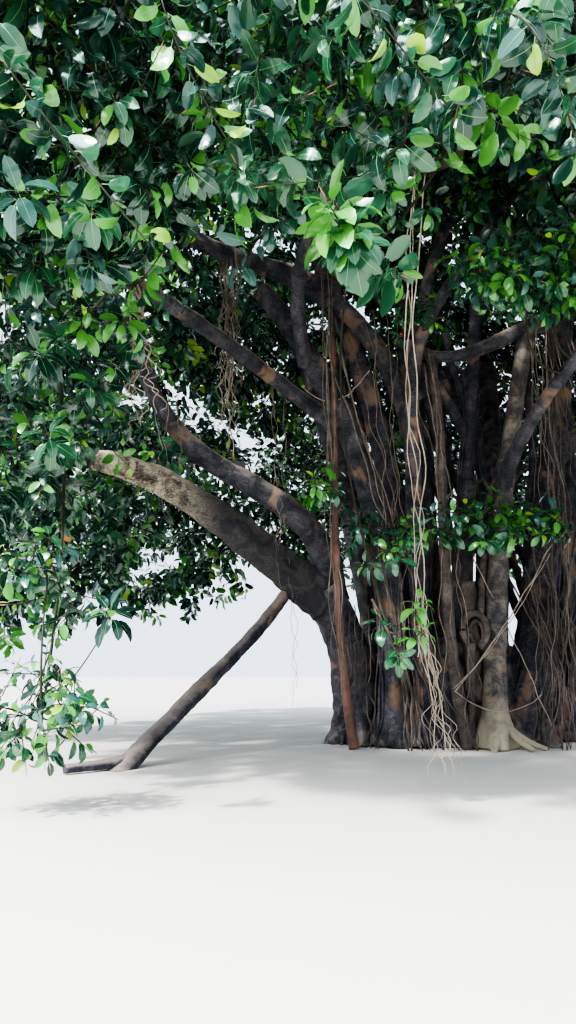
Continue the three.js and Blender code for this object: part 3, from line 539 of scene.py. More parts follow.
def clasping(kind, tops, thicks, sunk, drift):
    """Roots that follow the skin of each stem from a share of its length down to the ground: at
    each height they stand at the stem's own spread radius, sunk by a share of their own, and turn
    round it by a drift that grows towards the ground."""
    lines = []
    radii = []
    for name, counts in CLASPING.items():
        many = counts[kind]
        line, girths = limbs[name]
        top = random.uniform(*tops, (many, 1))
        down = np.linspace(1, 0, CLASP_RINGS)[None, :]
        spots = top * down * (len(line) - 1)
        heading, side, rise = frames_along(line)
        turn = random.uniform(0, 2 * np.pi, (many, 1))
        turn = turn + random.uniform(-drift, drift, (many, 1)) * (1 - down) ** 2
        turn = turn + 0.12 * np.sin(down * random.uniform(8, 20, (many, 1)) + turn[:, :1] * 5)
        thick = random.uniform(*thicks, (many, 1)) * (0.55 + 0.6 * (1 - down))
        middle = along_line(line, spots)
        skin = np.interp(spots, np.arange(len(line)), girths)
        skin = skin * foot_spread(middle[..., 2], turn, STEMS[name][1])
        out = np.cos(turn)[..., None] * along_line(side, spots)
        out = out + np.sin(turn)[..., None] * along_line(rise, spots)
        lines.append(middle + out * (skin * 1.03 + thick * (1 - 2 * sunk))[..., None])
        radii.append(thick * np.minimum(1, 8 * (1 - down) + 0.2))
    lines = np.concatenate(lines)
    return lines + meander(len(lines), CLASP_RINGS, 2.0, 0.014), np.concatenate(radii)


def rods(lines, radii, sides, rough=0.0):
    """Many round rods at once: lines are rods by rings by 3 and radii rods by rings. Each is
    carried along its line, and its radius is swelled by rough times lumps of 0.12 m. Nothing goes
    below the ground. Returns points and faces."""
    count, rings = lines.shape[:2]
    heading, side, rise = frames_along(lines)
    angle = np.linspace(0, 2 * np.pi, sides, endpoint=False)
    out = np.cos(angle)[:, None] * side[..., None, :] + np.sin(angle)[:, None] * rise[..., None, :]
    points = lines[..., None, :] + out * radii[..., None, None]
    if rough:
        points += out * (radii[..., None] * rough * lumps(points, 0.12, 17))[..., None]
    hold_above_ground(points)
    at = np.arange(count * rings * sides).reshape(count, rings, sides)
    after = np.roll(at, -1, axis=2)
    walls = np.stack([at[:, :-1], after[:, :-1], after[:, 1:], at[:, 1:]], axis=-1).reshape(-1, 4)
    ends = np.concatenate([at[:, 0, ::-1], at[:, -1]])
    return points.reshape(-1, 3), [walls, ends]


thick_lines, thick_radii = clasping(THICK, (0.18, 0.7), (0.05, 0.12), 0.8, 1.0)
add_piece("fused_roots", [], DARK_BARK, extra=[rods(thick_lines, thick_radii, 12, 0.35)])
thin_lines, thin_radii = clasping(THIN, (0.2, 0.75), (0.012, 0.034), 0.2, 0.6)
pale = np.arange(len(thin_lines)) % 4 == 0
add_piece("clasping_roots", [], DARK_BARK, extra=[rods(thin_lines[~pale], thin_radii[~pale], 7, 0.2)])
add_piece("pale_clasping_roots", [], ROOT_BARK,
          extra=[rods(thin_lines[pale], thin_radii[pale], 7, 0.2)])

# The flared roots of the pale stem, buff and smooth, that grow from its foot and run out over the
# ground in front of it, each tapering until it has sunk in. Their buff is partly their own colour
# and partly painted sunlight.
FOOT_ROOTS = [
    ([(0.42, -1.25, 0.7), (0.36, -1.52, 0.3), (0.28, -1.75, 0.1), (0.18, -1.96, 0.02)], 0.1, 0.05),
    ([(0.5, -1.25, 0.6), (0.64, -1.55, 0.25), (0.78, -1.75, 0.1), (0.9, -1.86, 0.02)], 0.1, 0.045),
    ([(0.52, -1.2, 0.5), (0.82, -1.42, 0.2), (1.05, -1.54, 0.08), (1.2, -1.6, 0.02)], 0.08, 0.035),
]
foot_grids = []
for count, (path, thick, thin) in enumerate(FOOT_ROOTS):
    grid = bark_grid(curve_through(path, 40), np.linspace(thick, thin, 40), 16, count + 81, 0.8)
    hold_above_ground(grid)
    foot_grids.append(grid)
add_piece("pale_foot_roots", foot_grids, PALE_BARK)


# Hanging roots. Bundles and curtains of thin aerial roots fall from the boughs, supple and a little
# wavy, grey-beige when dry. Some stop in the air, and some reach the ground and fan out there.
# Dry root skin is finely wrinkled and quite dull. Roots out in the light are bleached to beige.
DRY_ROOT = bark_material("dry_hanging_root",
                         [(0.3, "#4a423b"), (0.45, "#6b6057"), (0.6, "#8d8073"), (0.75, "#b3a594")],
                         180, 24, 0.82, 3)
BLEACHED_ROOT = bark_material("bleached_hanging_root",
                              [(0.3, "#6a5f55"), (0.45, "#918476"), (0.6, "#b3a595"), (0.75, "#d2c6b6")],
                              180, 24, 0.82, 3)

STRAND_RINGS = 46


def strands(count, path, top_spread, low_spread, thick, waves=2.0, reach=0.05, last=(1.0, 1.0), fan=0.0):
    """Hanging strands along one path through two or four places. Each is moved aside by its own
    part of the spread at the top and at the foot, wanders, stops at its own share of the path,
    and with fan its last quarter swings outwards by the square of how far it has come. waves and
    reach are those of its wander, and thick is the least and greatest radius at its top."""
    middle = curve_through(path, 200) if len(path) == 4 else respaced(np.array(path, float), 200)
    share = np.linspace(0, 1, STRAND_RINGS)[None, :, None]
    ends = random.uniform(*last, (count, 1, 1))
    aside = random.uniform(-1, 1, (count, 1, 3)) * np.array(low_spread)
    lines = along_line(middle, (share * ends)[..., 0] * 199)
    lines = lines + random.uniform(-1, 1, (count, 1, 3)) * np.array(top_spread) * (1 - share) + aside * share
    lines = lines + meander(count, STRAND_RINGS, waves, reach)
    lines = lines + aside * fan * np.maximum(share - 0.75, 0) ** 2 * 16
    hold_above_ground(lines)
    return lines, random.uniform(*thick, (count, 1)) * (1.15 - 0.4 * share[..., 0])


def hang(name, groups, material, nodes=(), sides=5, rough=0.0):
    """One piece of several groups of strands."""
    shapes = [rods(lines, radii, sides, rough) for lines, radii in groups]
    return add_piece(name, [], material, nodes, shapes)


# Each bundle has the bough that bears it, the share of that where it hangs, and the radius round it
# that stays free of leaves.
BUNDLES = {
    "left_hanging_roots": ("upper_left_bough", 0.66, 0.26),
    "far_left_hanging_roots": ("fore_left_bough", 0.97, 0.22),
    "front_hanging_roots": ("front_left_bough", 0.97, 0.2),
    "right_hanging_roots": ("joining_bough", 0.2, 0.38),
}
tops = {}
for name, (bearer, share, spread) in BUNDLES.items():
    tops[name] = limb_at(bearer, share)[0]
    keep_limb(name, np.array([tops[name], tops[name] - (0, 0, 3.0)]), np.array([spread, spread]))


def fall_from(name, *drops):
    """Places down from a bundle's top, each moved from it by a drop."""
    return [tuple(tops[name] + np.array(drop)) for drop in drops]


hang("left_curtain_roots", [
    strands(15, fall_from("left_hanging_roots", (0, 0, 0), (0.02, 0, -1.2), (0.05, 0, -2.5),
                         (0.1, 0, -3.9)),
            (0.3, 0.12, 0.04), (0.3, 0.2, 0.1), (0.006, 0.011), 3.0, 0.07, (0.55, 1.0)),
    strands(5, fall_from("left_hanging_roots", (0, 0, 0), (0.06, 0, -1.4), (0.12, 0, -3.0),
                         (0.2, 0, -4.4)),
            (0.1, 0.05, 0.02), (0.12, 0.12, 0.1), (0.01, 0.016), 2.4, 0.06, (0.8, 1.0)),
], DRY_ROOT, ["left_hanging_roots"])
hang("frayed_roots", [
    strands(9, fall_from("far_left_hanging_roots", (0, 0, 0), (0.12, 0, -0.6), (-0.02, 0, -1.3),
                         (-0.14, 0, -2.1)),
            (0.06, 0.05, 0.04), (0.16, 0.12, 0.1), (0.006, 0.012), 3.2, 0.07, (0.7, 1.0)),
    strands(9, fall_from("far_left_hanging_roots", (0, 0, 0), (0.14, 0, -0.9), (0.2, 0, -1.6),
                         (0.3, 0, -2.3)),
            (0.06, 0.05, 0.04), (0.22, 0.12, 0.1), (0.005, 0.01), 3.2, 0.08, (0.5, 1.0)),
], BLEACHED_ROOT, ["far_left_hanging_roots"])
hang("front_bundle_roots", [
    strands(4, fall_from("front_hanging_roots", (0, 0, 0), (-0.2, -0.05, -2.6), (-0.18, -0.1, -5.2),
                         (-0.06, -0.1, -7.5)),
            (0.14, 0.05, 0.02), (0.08, 0.05, 0.1), (0.006, 0.01), 3.0, 0.06, (0.92, 1.0)),
    strands(6, fall_from("front_hanging_roots", (-0.18, -0.1, -5.6), (-0.03, -0.1, -7.6)),
            (0.02, 0.02, 0.2), (0.2, 0.14, 0.02), (0.003, 0.006), 2.6, 0.06, (0.8, 1.0), 0.6),
], BLEACHED_ROOT, ["front_hanging_roots"])
hang("right_bundle_roots", [
    strands(5, fall_from("right_hanging_roots", (0, 0, 0), (0.0, -0.25, -2.6), (-0.15, -0.4, -5.3),
                         (-0.3, -0.6, -8.15)),
            (0.12, 0.06, 0.03), (0.3, 0.16, 0.05), (0.008, 0.016), 2.4, 0.08, (0.85, 1.0)),
    strands(6, fall_from("right_hanging_roots", (0, 0, 0), (0.15, -0.3, -2.6), (0.2, -0.55, -5.3),
                         (0.05, -0.6, -8.15)),
            (0.3, 0.1, 0.3), (0.5, 0.25, 0.1), (0.005, 0.009), 3.0, 0.1, (0.4, 1.0)),
], ROOT_BARK, ["right_hanging_roots"])

# Single hanging roots elsewhere: stout ones that fill the gaps between the stems, long thin ones
# before them, a fan at the foot of the trunk, and thin ones under the boughs.
hang("inner_roots", [
    strands(9, [(0.5, -0.1, 8.0), (0.6, -0.1, 5.4), (0.5, -0.1, 2.8), (0.3, 0.0, 0.3)],
            (1.6, 0.5, 0.6), (1.5, 0.5, 0.1), (0.04, 0.09), 1.4, 0.14),
    strands(9, [(1.2, 0.9, 8.0), (1.1, 0.9, 5.4), (0.9, 0.8, 2.8), (0.8, 0.7, 0.0)],
            (2.4, 0.7, 0.6), (2.0, 0.7, 0.0), (0.05, 0.11), 1.4, 0.14),
    strands(5, [(-2.1, 0.2, 8.4), (-1.6, 0.3, 5.6), (-1.2, 0.3, 2.9), (-1.1, 0.3, 0.3)],
            (0.7, 0.4, 0.4), (0.5, 0.4, 0.1), (0.04, 0.08), 1.4, 0.12),
], DARK_BARK, sides=10, rough=0.3)
hang("long_roots", [
    strands(4, [(-2.5, -1.35, 9.4), (-2.5, -1.5, 6.6), (-2.45, -1.55, 3.3), (-2.3, -1.6, 0.0)],
            (0.15, 0.12, 0.2), (0.15, 0.08, 0.02), (0.007, 0.013), 2.2, 0.06, (0.6, 1.0)),
    strands(3, [(-2.35, -1.2, 8.0), (-2.1, -1.4, 6.6), (-1.5, -1.5, 4.4), (-1.15, -1.55, 2.9)],
            (0.2, 0.1, 0.2), (0.12, 0.08, 0.1), (0.012, 0.02), 1.6, 0.05, (0.9, 1.0)),
    strands(5, [(-1.6, -1.3, 8.2), (-1.45, -1.5, 5.6), (-1.3, -1.58, 2.8), (-1.2, -1.62, 0.0)],
            (0.55, 0.1, 0.4), (0.5, 0.12, 0.02), (0.005, 0.01), 2.4, 0.08, (0.6, 1.0)),
    strands(4, [(-0.6, -1.3, 7.3), (-0.45, -1.5, 4.9), (-0.35, -1.6, 2.4), (-0.45, -1.7, 0.0)],
            (0.3, 0.08, 0.3), (0.35, 0.1, 0.02), (0.007, 0.014), 2.4, 0.07, (0.7, 1.0)),
    strands(6, [(1.6, -1.25, 7.9), (1.5, -1.4, 5.2), (1.5, -1.5, 2.6), (1.4, -1.5, 0.0)],
            (0.35, 0.08, 0.3), (0.45, 0.15, 0.02), (0.007, 0.014), 2.4, 0.08, (0.6, 1.0)),
    strands(6, [(2.4, -0.95, 8.2), (2.5, -1.25, 5.2), (2.3, -1.35, 2.6), (2.1, -1.4, 0.0)],
            (0.5, 0.2, 0.4), (0.45, 0.25, 0.02), (0.006, 0.014), 2.0, 0.08, (0.6, 1.0)),
    strands(8, [(1.4, 3.0, 7.0), (1.3, 3.1, 5.0), (1.3, 3.2, 3.0), (1.2, 3.2, 0.6)],
            (2.6, 0.9, 0.4), (2.6, 1.0, 0.2), (0.007, 0.014), 2.2, 0.08, (0.4, 1.0)),
], DRY_ROOT)
hang("fan_roots", [
    strands(11, [(-1.35, -1.2, 2.6), (-0.95, -1.6, 0.0)],
            (0.4, 0.1, 0.5), (0.45, 0.14, 0.01), (0.009, 0.024), 1.4, 0.035),
    strands(5, [(-0.75, -1.3, 2.3), (-0.3, -1.6, 0.0)],
            (0.4, 0.08, 0.4), (0.4, 0.1, 0.01), (0.007, 0.014), 1.5, 0.04),
    strands(3, [(0.05, -1.35, 1.7), (-0.2, -1.65, 0.0)],
            (0.2, 0.08, 0.4), (0.25, 0.1, 0.01), (0.006, 0.01), 1.6, 0.04),
    strands(12, [(2.0, -0.95, 2.8), (1.5, -1.45, 0.0)],
            (0.4, 0.1, 0.5), (0.55, 0.2, 0.01), (0.008, 0.02), 1.5, 0.05),
    strands(10, [(1.3, -1.0, 3.0), (2.1, -1.4, 0.0)],
            (0.4, 0.1, 0.5), (0.5, 0.2, 0.01), (0.008, 0.018), 1.5, 0.05),
    strands(8, [(-2.0, -0.75, 2.2), (-1.95, -1.3, 0.0)],
            (0.25, 0.08, 0.5), (0.3, 0.12, 0.01), (0.008, 0.018), 1.6, 0.05),
], ROOT_BARK)
hang("thin_roots", [
    strands(4, [(-5.5, -1.8, 6.4), (-5.5, -1.8, 3.6)],
            (0.4, 0.3, 0.2), (0.4, 0.3, 0.2), (0.004, 0.008), 2.6, 0.05, (0.5, 1.0)),
    strands(3, [(-3.55, -0.85, 7.0), (-3.5, -0.95, 2.2)],
            (0.2, 0.2, 0.2), (0.2, 0.2, 0.3), (0.005, 0.009), 2.6, 0.06, (0.7, 1.0)),
    strands(2, [(-3.15, -0.8, 3.4), (-3.1, -0.9, 0.9)],
            (0.15, 0.1, 0.1), (0.1, 0.1, 0.3), (0.004, 0.008), 2.6, 0.05),
    strands(5, [(3.9, -1.2, 6.5), (3.9, -1.3, 3.8)],
            (1.2, 0.3, 0.1), (1.2, 0.3, 0.6), (0.005, 0.01), 2.6, 0.06, (0.4, 1.0)),
], DRY_ROOT)


# Roots that cross between the stems, some of them sagging, and one that has looped into a knot and
# grown thick. Their own weight bows them, and where they touch the bark they join it.
def drooping(start, end, sag, thick, rings=44):
    """One root from place to place that sags by this much half-way, as a parabola."""
    share = np.linspace(0, 1, rings)[:, None]
    line = np.array(start) + (np.array(end) - np.array(start)) * share
    line[:, 2] -= (4 * sag * share * (1 - share))[:, 0]
    return line[None] + meander(1, rings, 3.0, 0.015), np.full((1, rings), thick)


def ring_root(centre, reach, tall, thick, rings=44):
    """A root that has looped on itself: nearly a whole upright ellipse, its ends drawn apart."""
    turn = np.linspace(-1.3, 2 * np.pi - 1.9, rings)
    line = np.stack([reach * np.cos(turn), 0.08 * np.sin(turn / 2), tall * np.sin(turn)], axis=1)
    return (np.array(centre) + line)[None], np.full((1, rings), thick)


hang("crossing_roots", [
    drooping((-0.4, -1.75, 1.0), (1.61, -1.35, 3.67), 0.15, 0.012),
    drooping((-0.42, -1.72, 1.05), (1.55, -1.38, 3.5), 0.22, 0.009),
    drooping((-0.39, -1.8, 1.01), (1.2, -1.5, 0.95), 0.32, 0.008),
    drooping((0.1, -1.45, 3.4), (1.4, -1.3, 0.4), -0.1, 0.01),
    drooping((-3.0, -0.95, 6.9), (-1.7, -1.1, 7.2), 0.45, 0.012),
], BLEACHED_ROOT, sides=7)
hang("looped_root", [
    ring_root((0.1, -1.42, 2.08), 0.21, 0.31, 0.062),
    ring_root((0.15, -1.34, 2.05), 0.12, 0.2, 0.045),
    drooping((0.22, -1.34, 2.3), (0.45, -1.0, 3.6), -0.05, 0.065),
    drooping((0.02, -1.38, 1.85), (-0.05, -1.25, 0.2), -0.04, 0.075),
    drooping((0.1, -1.0, 3.0), (0.12, -1.05, 0.8), 0.0, 0.17),
], ROOT_BARK, sides=12, rough=0.3)


# Twigs. From the tip of every bough a stem grows on into its own mass of foliage, and branches by
# one rule: each new twig reaches for a place spread evenly through the mass, from the nearest older
# wood that already heads its way, and is left out where it would leave the mass or touch a limb.

# The masses stand in rings. Each ring has the bearing of its first mass in degrees, its reach from the
# middle, its height, the radius of its masses and the limbs that carry them.
RIM = (180, 8.5, 6.5, 3.5,
       ["low_left_bough", "fore_left_bough", "front_left_bough", "front_right_bough", "right_bough",
        "side_bough", "right_back_bough", "back_left_bough", "left_back_bough"])
SHOULDER = (180, 5.8, 10.0, 3.3,
            ["second_left_bough", "upper_left_bough", "forward_bough", "high_right_bough",
             "right_stem", "back_right_stem", "back_left_stem"])
UPPER = (200, 2.9, 12.5, 3.0, ["dark_stem", "upright_stem", "far_right_stem", "back_stem"])
TOP = (0, 0.0, 13.3, 2.7, ["middle_stem"])
LEFT_DIP = 0.8
SIDE_DIP = 0.7
# The bare rooms under the crown and before the boughs, each the middle and radii of an ellipsoid.
ROOMS = [((0, -2.0, 0), (7.4, 11.0, 8.2)), ((-3.3, -3.6, 6.4), (2.5, 5.0, 3.5)),
         ((-0.8, -4.2, 7.5), (1.0, 2.6, 1.9))]
LOWEST_LEAF = 0.12
TWIG_MARGIN = 0.1
SPRIG_MARGIN = 0.02
STRAIGHTNESS = 0.5
SHORTEST_TWIG = 0.32
SHOOT_REACH = 0.5
THINNEST_TWIG = 0.005
OUTWARDNESS = 0.25
STEM_BEND = 0.45
STEM_PLACES = (0.25, 0.4, 0.55, 0.7, 0.85, 1.0)
TWIGS_EACH = 175
TWIGS_TRIED = 560
LEAF_LENGTH = 0.275

masses = {}
for bearing, reach, height, size, carriers in (RIM, SHOULDER, UPPER, TOP):
    for count, carrier in enumerate(carriers):
        turn = math.radians(bearing + 360 * count / len(carriers))
        dip = SIDE_DIP * math.cos(2 * turn) - LEFT_DIP * math.cos(turn) if reach == RIM[1] else 0
        centre = np.array((reach * math.cos(turn), reach * math.sin(turn), height - dip))
        place, heading, radius = limb_at(carrier, 1)
        bend = place + heading * STEM_BEND * np.linalg.norm(centre - place)
        masses[f"{carrier}_leaves"] = {
            "centre": centre, "size": size, "stem": (place, bend, centre), "girth": (0.97 * radius, 0.045),
            "squeeze": 1.0, "twigs": TWIGS_EACH, "shoots": 3, "leaves": 13, "leaf": LEAF_LENGTH,
            "room": True, "own": None, "node": True}

# Side branches, each with the limb or mass that bears it, the share of that where it leaves, the
# centre and size of its leaves, how they are squeezed along each axis, its girth, its number of
# twigs, the shoots on each twig, the leaves on each shoot and their length. The seam spray and the
# inner spray close the crown above the rooms before the boughs.
SIDE_BRANCHES = {
    "overhanging_leaves": ("fore_left_bough", 0.97, (-5.25, -9.35, 6.5),
                           2.2, 1.0, 0.095, 120, 3, 13, 0.275),
    "trunk_shoot": ("front_pillar_root", 0.47, (0.0, -2.15, 3.85),
                    1.3, (0.85, 0.6, 0.45), 0.034, 15, 2, 11, 0.3),
    "front_hanging_shoot": ("front_left_bough", 0.8, (-2.22, -7.7, 1.58),
                            0.5, 0.5, 0.02, 1, 1, 14, 0.19),
    "left_hanging_shoot": ("fore_left_bough_leaves", 1.0, (-5.75, -7.6, 0.95),
                           0.95, (0.8, 0.6, 0.55), 0.03, 20, 2, 9, 0.2),
    "upper_hanging_sprig": ("front_hanging_shoot", 0.85, (-2.17, -7.7, 2.28),
                            0.4, 0.9, 0.008, 2, 1, 10, 0.17),
    "middle_hanging_sprig": ("front_hanging_shoot", 0.9, (-2.03, -7.75, 1.95),
                             0.35, 0.9, 0.007, 1, 1, 11, 0.18),
    "lower_hanging_sprig": ("front_hanging_shoot", 0.95, (-2.05, -7.75, 1.69),
                            0.35, 0.9, 0.007, 1, 1, 12, 0.19),
    "last_hanging_sprig": ("front_hanging_shoot", 0.95, (-2.31, -7.65, 1.76),
                           0.35, 0.9, 0.007, 1, 1, 12, 0.19),
    "left_spray": ("left_hanging_shoot", 0.62, (-5.9, -7.2, 2.3),
                   0.8, (0.7, 0.5, 1.0), 0.018, 10, 2, 7, 0.19),
    "left_tuft": ("left_hanging_shoot", 0.5, (-4.95, -8.3, 1.85),
                  0.35, 0.8, 0.012, 1, 1, 14, 0.25),
    "front_tuft": ("front_left_bough_leaves", 1.0, (-2.82, -10.4, 4.4),
                   0.6, (0.5, 0.5, 0.7), 0.02, 4, 1, 18, 0.29),
    "high_tuft": ("front_left_bough_leaves", 1.0, (-3.6, -10.0, 5.15),
                  0.45, (0.6, 0.6, 0.7), 0.018, 2, 1, 15, 0.23),
    "small_tuft": ("front_left_bough_leaves", 1.0, (-2.3, -9.2, 5.65),
                   0.45, 0.8, 0.014, 4, 2, 8, 0.17),
    "near_spray": ("front_right_bough", 0.45, (0.1, -5.6, 6.8),
                   1.4, (1.0, 0.8, 0.5), 0.03, 26, 3, 11, 0.25),
    "right_spray": ("front_right_bough", 0.5, (0.9, -4.6, 7.1),
                    1.4, (1.0, 0.8, 0.5), 0.03, 26, 3, 11, 0.25),
    "bright_sprig": ("forward_bough", 0.35, (-0.95, -3.0, 7.3),
                     0.6, 0.8, 0.015, 7, 2, 8, 0.19),
    "pillar_sprig": ("red_pillar_root", 0.5, (-2.61, -1.8, 4.5),
                     0.55, 0.8, 0.016, 7, 2, 7, 0.25),
    "leaning_sprig": ("leaning_stem", 0.35, (-1.85, -1.65, 3.75),
                      0.55, 0.8, 0.016, 7, 2, 7, 0.25),
    "upright_sprig": ("upright_stem", 0.3, (-1.13, -2.0, 3.55),
                      0.5, 0.9, 0.016, 6, 2, 7, 0.25),
    "seam_spray": ("fore_left_bough_leaves", 1.0, (-4.4, -7.2, 8.0),
                   1.6, (1.0, 1.0, 0.5), 0.035, 34, 3, 11, 0.27),
    "inner_spray": ("front_left_bough_leaves", 1.0, (-2.5, -6.4, 9.0),
                    1.4, (1.0, 1.0, 0.5), 0.035, 28, 3, 11, 0.27),
    "pale_sprig": ("pale_stem", 0.45, (1.3, -1.85, 3.85),
                   0.6, 0.9, 0.016, 7, 2, 7, 0.25),
}
# The first four are nodes of the solids, and the rest are sprigs that only the dressed tree has.
SPRIGS = list(SIDE_BRANCHES)[4:]
OVERHANGING = "overhanging_leaves"


def arched(starts, bends, ends, rings):
    """Curves that leave their starts towards their bends and arrive from there at their ends, by
    (1-t)^2, 2t(1-t) and t^2."""
    t = np.linspace(0, 1, rings)[:, None]
    starts, bends, ends = (np.asarray(place)[..., None, :] for place in (starts, bends, ends))
    return starts * (1 - t) ** 2 + bends * 2 * t * (1 - t) + ends * t ** 2


for name, row in SIDE_BRANCHES.items():
    bearer, share, centre, size, squeeze, girth, twigs, shoots, leaves, leaf = row
    if bearer in masses:
        place = masses[bearer]["centre"]
        heading = np.array((0, -1.0, 0))
    else:
        place, heading, radius = limb_at(bearer, share)
    away = np.array(centre) - place
    across = away - heading * (away @ heading)
    turned = heading if share > 0.95 and bearer not in masses else across / np.linalg.norm(across)
    bend = place + turned * STEM_BEND * np.linalg.norm(away)
    masses[name] = {
        "centre": np.array(centre), "size": size, "stem": (place, bend, np.array(centre)),
        "girth": (girth, 0.5 * girth), "squeeze": squeeze, "twigs": twigs, "shoots": shoots,
        "leaves": leaves, "leaf": leaf, "room": name == OVERHANGING, "own": name, "node": name not in SPRIGS}
    keep_limb(name, arched(*masses[name]["stem"], 7), np.linspace(girth, 0.5 * girth, 7))

centres = np.array([mass["centre"] for mass in masses.values()])
reaches = np.array([mass["size"] for mass in masses.values()])
order = {name: index for index, name in enumerate(masses)}
bounding = np.array([mass["node"] for mass in masses.values()])
low_ends = []
high_ends = []
stretch_radii = []
stretch_owner = []
for name, (line, radii) in limbs.items():
    spots = np.unique(np.linspace(0, len(line) - 1, 8).astype(int))
    low_ends.append(line[spots[:-1]])
    high_ends.append(line[spots[1:]])
    stretch_radii.append(radii[spots[:-1]])
    stretch_owner += [name] * (len(spots) - 1)
low_ends = np.concatenate(low_ends)
high_ends = np.concatenate(high_ends)
stretch_radii = np.concatenate(stretch_radii)
stretch_owner = np.array(stretch_owner)


def in_space(name, points, margin):
    """Whether each point lies in a mass's ball, on its own side of the plane where that ball
    meets each other one, outside the bare rooms under the crown, above the ground and within the
    tree's box. Sprigs keep to their ball alone and bound nothing."""
    which = order[name]
    gap = np.linalg.norm(points[:, None] - centres, axis=2)
    depth = gap ** 2 - reaches ** 2
    apart = np.linalg.norm(centres - centres[which], axis=1)
    apart[which] = 1
    further = (depth - depth[:, [which]]) / (2 * apart)
    further[:, which] = margin + 1
    further[:, ~bounding] = margin + 1
    inside = (gap[:, which] < reaches[which] - margin) & (points[:, 2] > LOWEST_LEAF)
    if masses[name]["node"]:
        inside &= (further > margin).all(axis=1)
    inside &= ((points > CAD_LOW) & (points < CAD_HIGH)).all(axis=1)
    for middle, radii in ROOMS if masses[name]["room"] else []:
        inside &= (((points - middle) / radii) ** 2).sum(axis=1) >= 1
    return inside


def clear_of_limbs(name, points, margin):
    """Whether each point is further than a margin from the surface of every limb near a mass but
    its own."""
    mass = masses[name]
    near = np.linalg.norm(low_ends - mass["centre"], axis=1) < mass["size"] + 4
    kept = near & (stretch_owner != mass["own"])
    start = low_ends[kept]
    way = high_ends[kept] - start
    share = np.clip(((points[:, None] - start) * way).sum(axis=2) / (way ** 2).sum(axis=1), 0, 1)
    gap = np.linalg.norm(points[:, None] - start - share[..., None] * way, axis=2)
    return (gap > stretch_radii[kept] + margin).all(axis=1)


def even_shares(count, base):
    """For the whole numbers from 1 to count, their digits in some base written backwards after
    the point, which spreads shares evenly without chance."""
    rest = np.arange(1, count + 1)
    shares = np.zeros(count)
    worth = 1 / base
    while rest.any():
        shares += worth * (rest % base)
        rest = rest // base
        worth /= base
    return shares


def targets_of(mass):
    """The places in a mass that its twigs reach for: even bearings and heights on a ball, at its
    radius times an even share to the power OUTWARDNESS, and squeezed along each axis."""
    out = (mass["size"] - min(SHOOT_REACH, 0.3 * mass["size"])) * even_shares(TWIGS_TRIED, 2) ** OUTWARDNESS
    turn = 2 * np.pi * even_shares(TWIGS_TRIED, 3)
    rise = 1 - 2 * even_shares(TWIGS_TRIED, 5)
    flat = np.sqrt(1 - rise ** 2)
    way = np.stack([flat * np.cos(turn), flat * np.sin(turn), rise], axis=1)
    return mass["centre"] + way * np.array(mass["squeeze"]) * out[:, None]


def grow(name):
    """The twigs of one mass, as starts, bends, ends and radii at both ends. The tip of a sprig's
    own stem is its first twig."""
    mass = masses[name]
    stem = arched(*mass["stem"], 41)
    ways = unit(np.gradient(stem, axis=0))
    picks = [int(share * 40) for share in STEM_PLACES]
    places = list(stem[picks])
    headings = list(ways[picks])
    girths = list(np.interp(STEM_PLACES, (0, 1), mass["girth"]))
    shortest = min(SHORTEST_TWIG, 0.2 * mass["size"])
    margin = TWIG_MARGIN if mass["room"] else SPRIG_MARGIN
    thin = mass["girth"][1]
    twigs = [] if mass["room"] else [(stem[30], stem[35], stem[40], thin, 0.8 * thin)]
    for target in targets_of(mass):
        if len(twigs) >= mass["twigs"]:
            break
        way = target - np.array(places)
        reach = np.linalg.norm(way, axis=1)
        turn = (way * headings).sum(axis=1) / reach
        best = int(np.argmin(reach * (1 + STRAIGHTNESS * (1 - turn))))
        if reach[best] < shortest:
            continue
        root = places[best]
        tests = root + (target - root) * np.linspace(1 / 6, 1, 6)[:, None]
        if not in_space(name, tests, margin).all() or not clear_of_limbs(name, tests, margin).all():
            continue
        length = reach[best]
        bend = root + headings[best] * 0.35 * length + (0, 0, 0.06 * length)
        thick = min(0.8 * girths[best], 0.008 + 0.016 * length)
        thin = max(0.5 * thick, THINNEST_TWIG)
        line = arched(root, bend, target, 5)
        ends = unit(np.gradient(line, axis=0))
        for spot in (2, 3, 4):
            places.append(line[spot])
            headings.append(ends[spot])
            girths.append(thick + (thin - thick) * spot / 4)
        twigs.append((root, bend, target, thick, thin))
    return twigs


# Twigs keep a thin skin, green where it is young, that dries to brown and is a little less dull.
TWIG_BARK = bark_material("green_brown_twig_bark",
                          [(0.3, "#1f1f19"), (0.5, "#343228"), (0.7, "#565142")],
                          90, 18, 0.6, 2)
TWIG_RINGS = 5
grown = {}
sprig_rods = []
for name, mass in masses.items():
    twigs = grow(name)
    starts, bends, ends = (np.array([twig[part] for twig in twigs]) for part in range(3))
    radii = np.linspace([twig[3] for twig in twigs], [twig[4] for twig in twigs], TWIG_RINGS).T
    taper = mass["girth"][1] + (mass["girth"][0] - mass["girth"][1]) * np.linspace(1, 0, 30) ** 2
    wood = [rods(arched(*mass["stem"], 30)[None], taper[None], 12),
            rods(arched(starts, bends, ends, TWIG_RINGS), radii, 4)]
    grown[name] = (starts, bends, ends)
    if mass["node"]:
        add_piece(f"{name.replace('_leaves', '')}_twigs", [], TWIG_BARK, [name], wood)
    else:
        sprig_rods += wood
add_piece("sprig_twigs", [], TWIG_BARK, extra=sprig_rods)


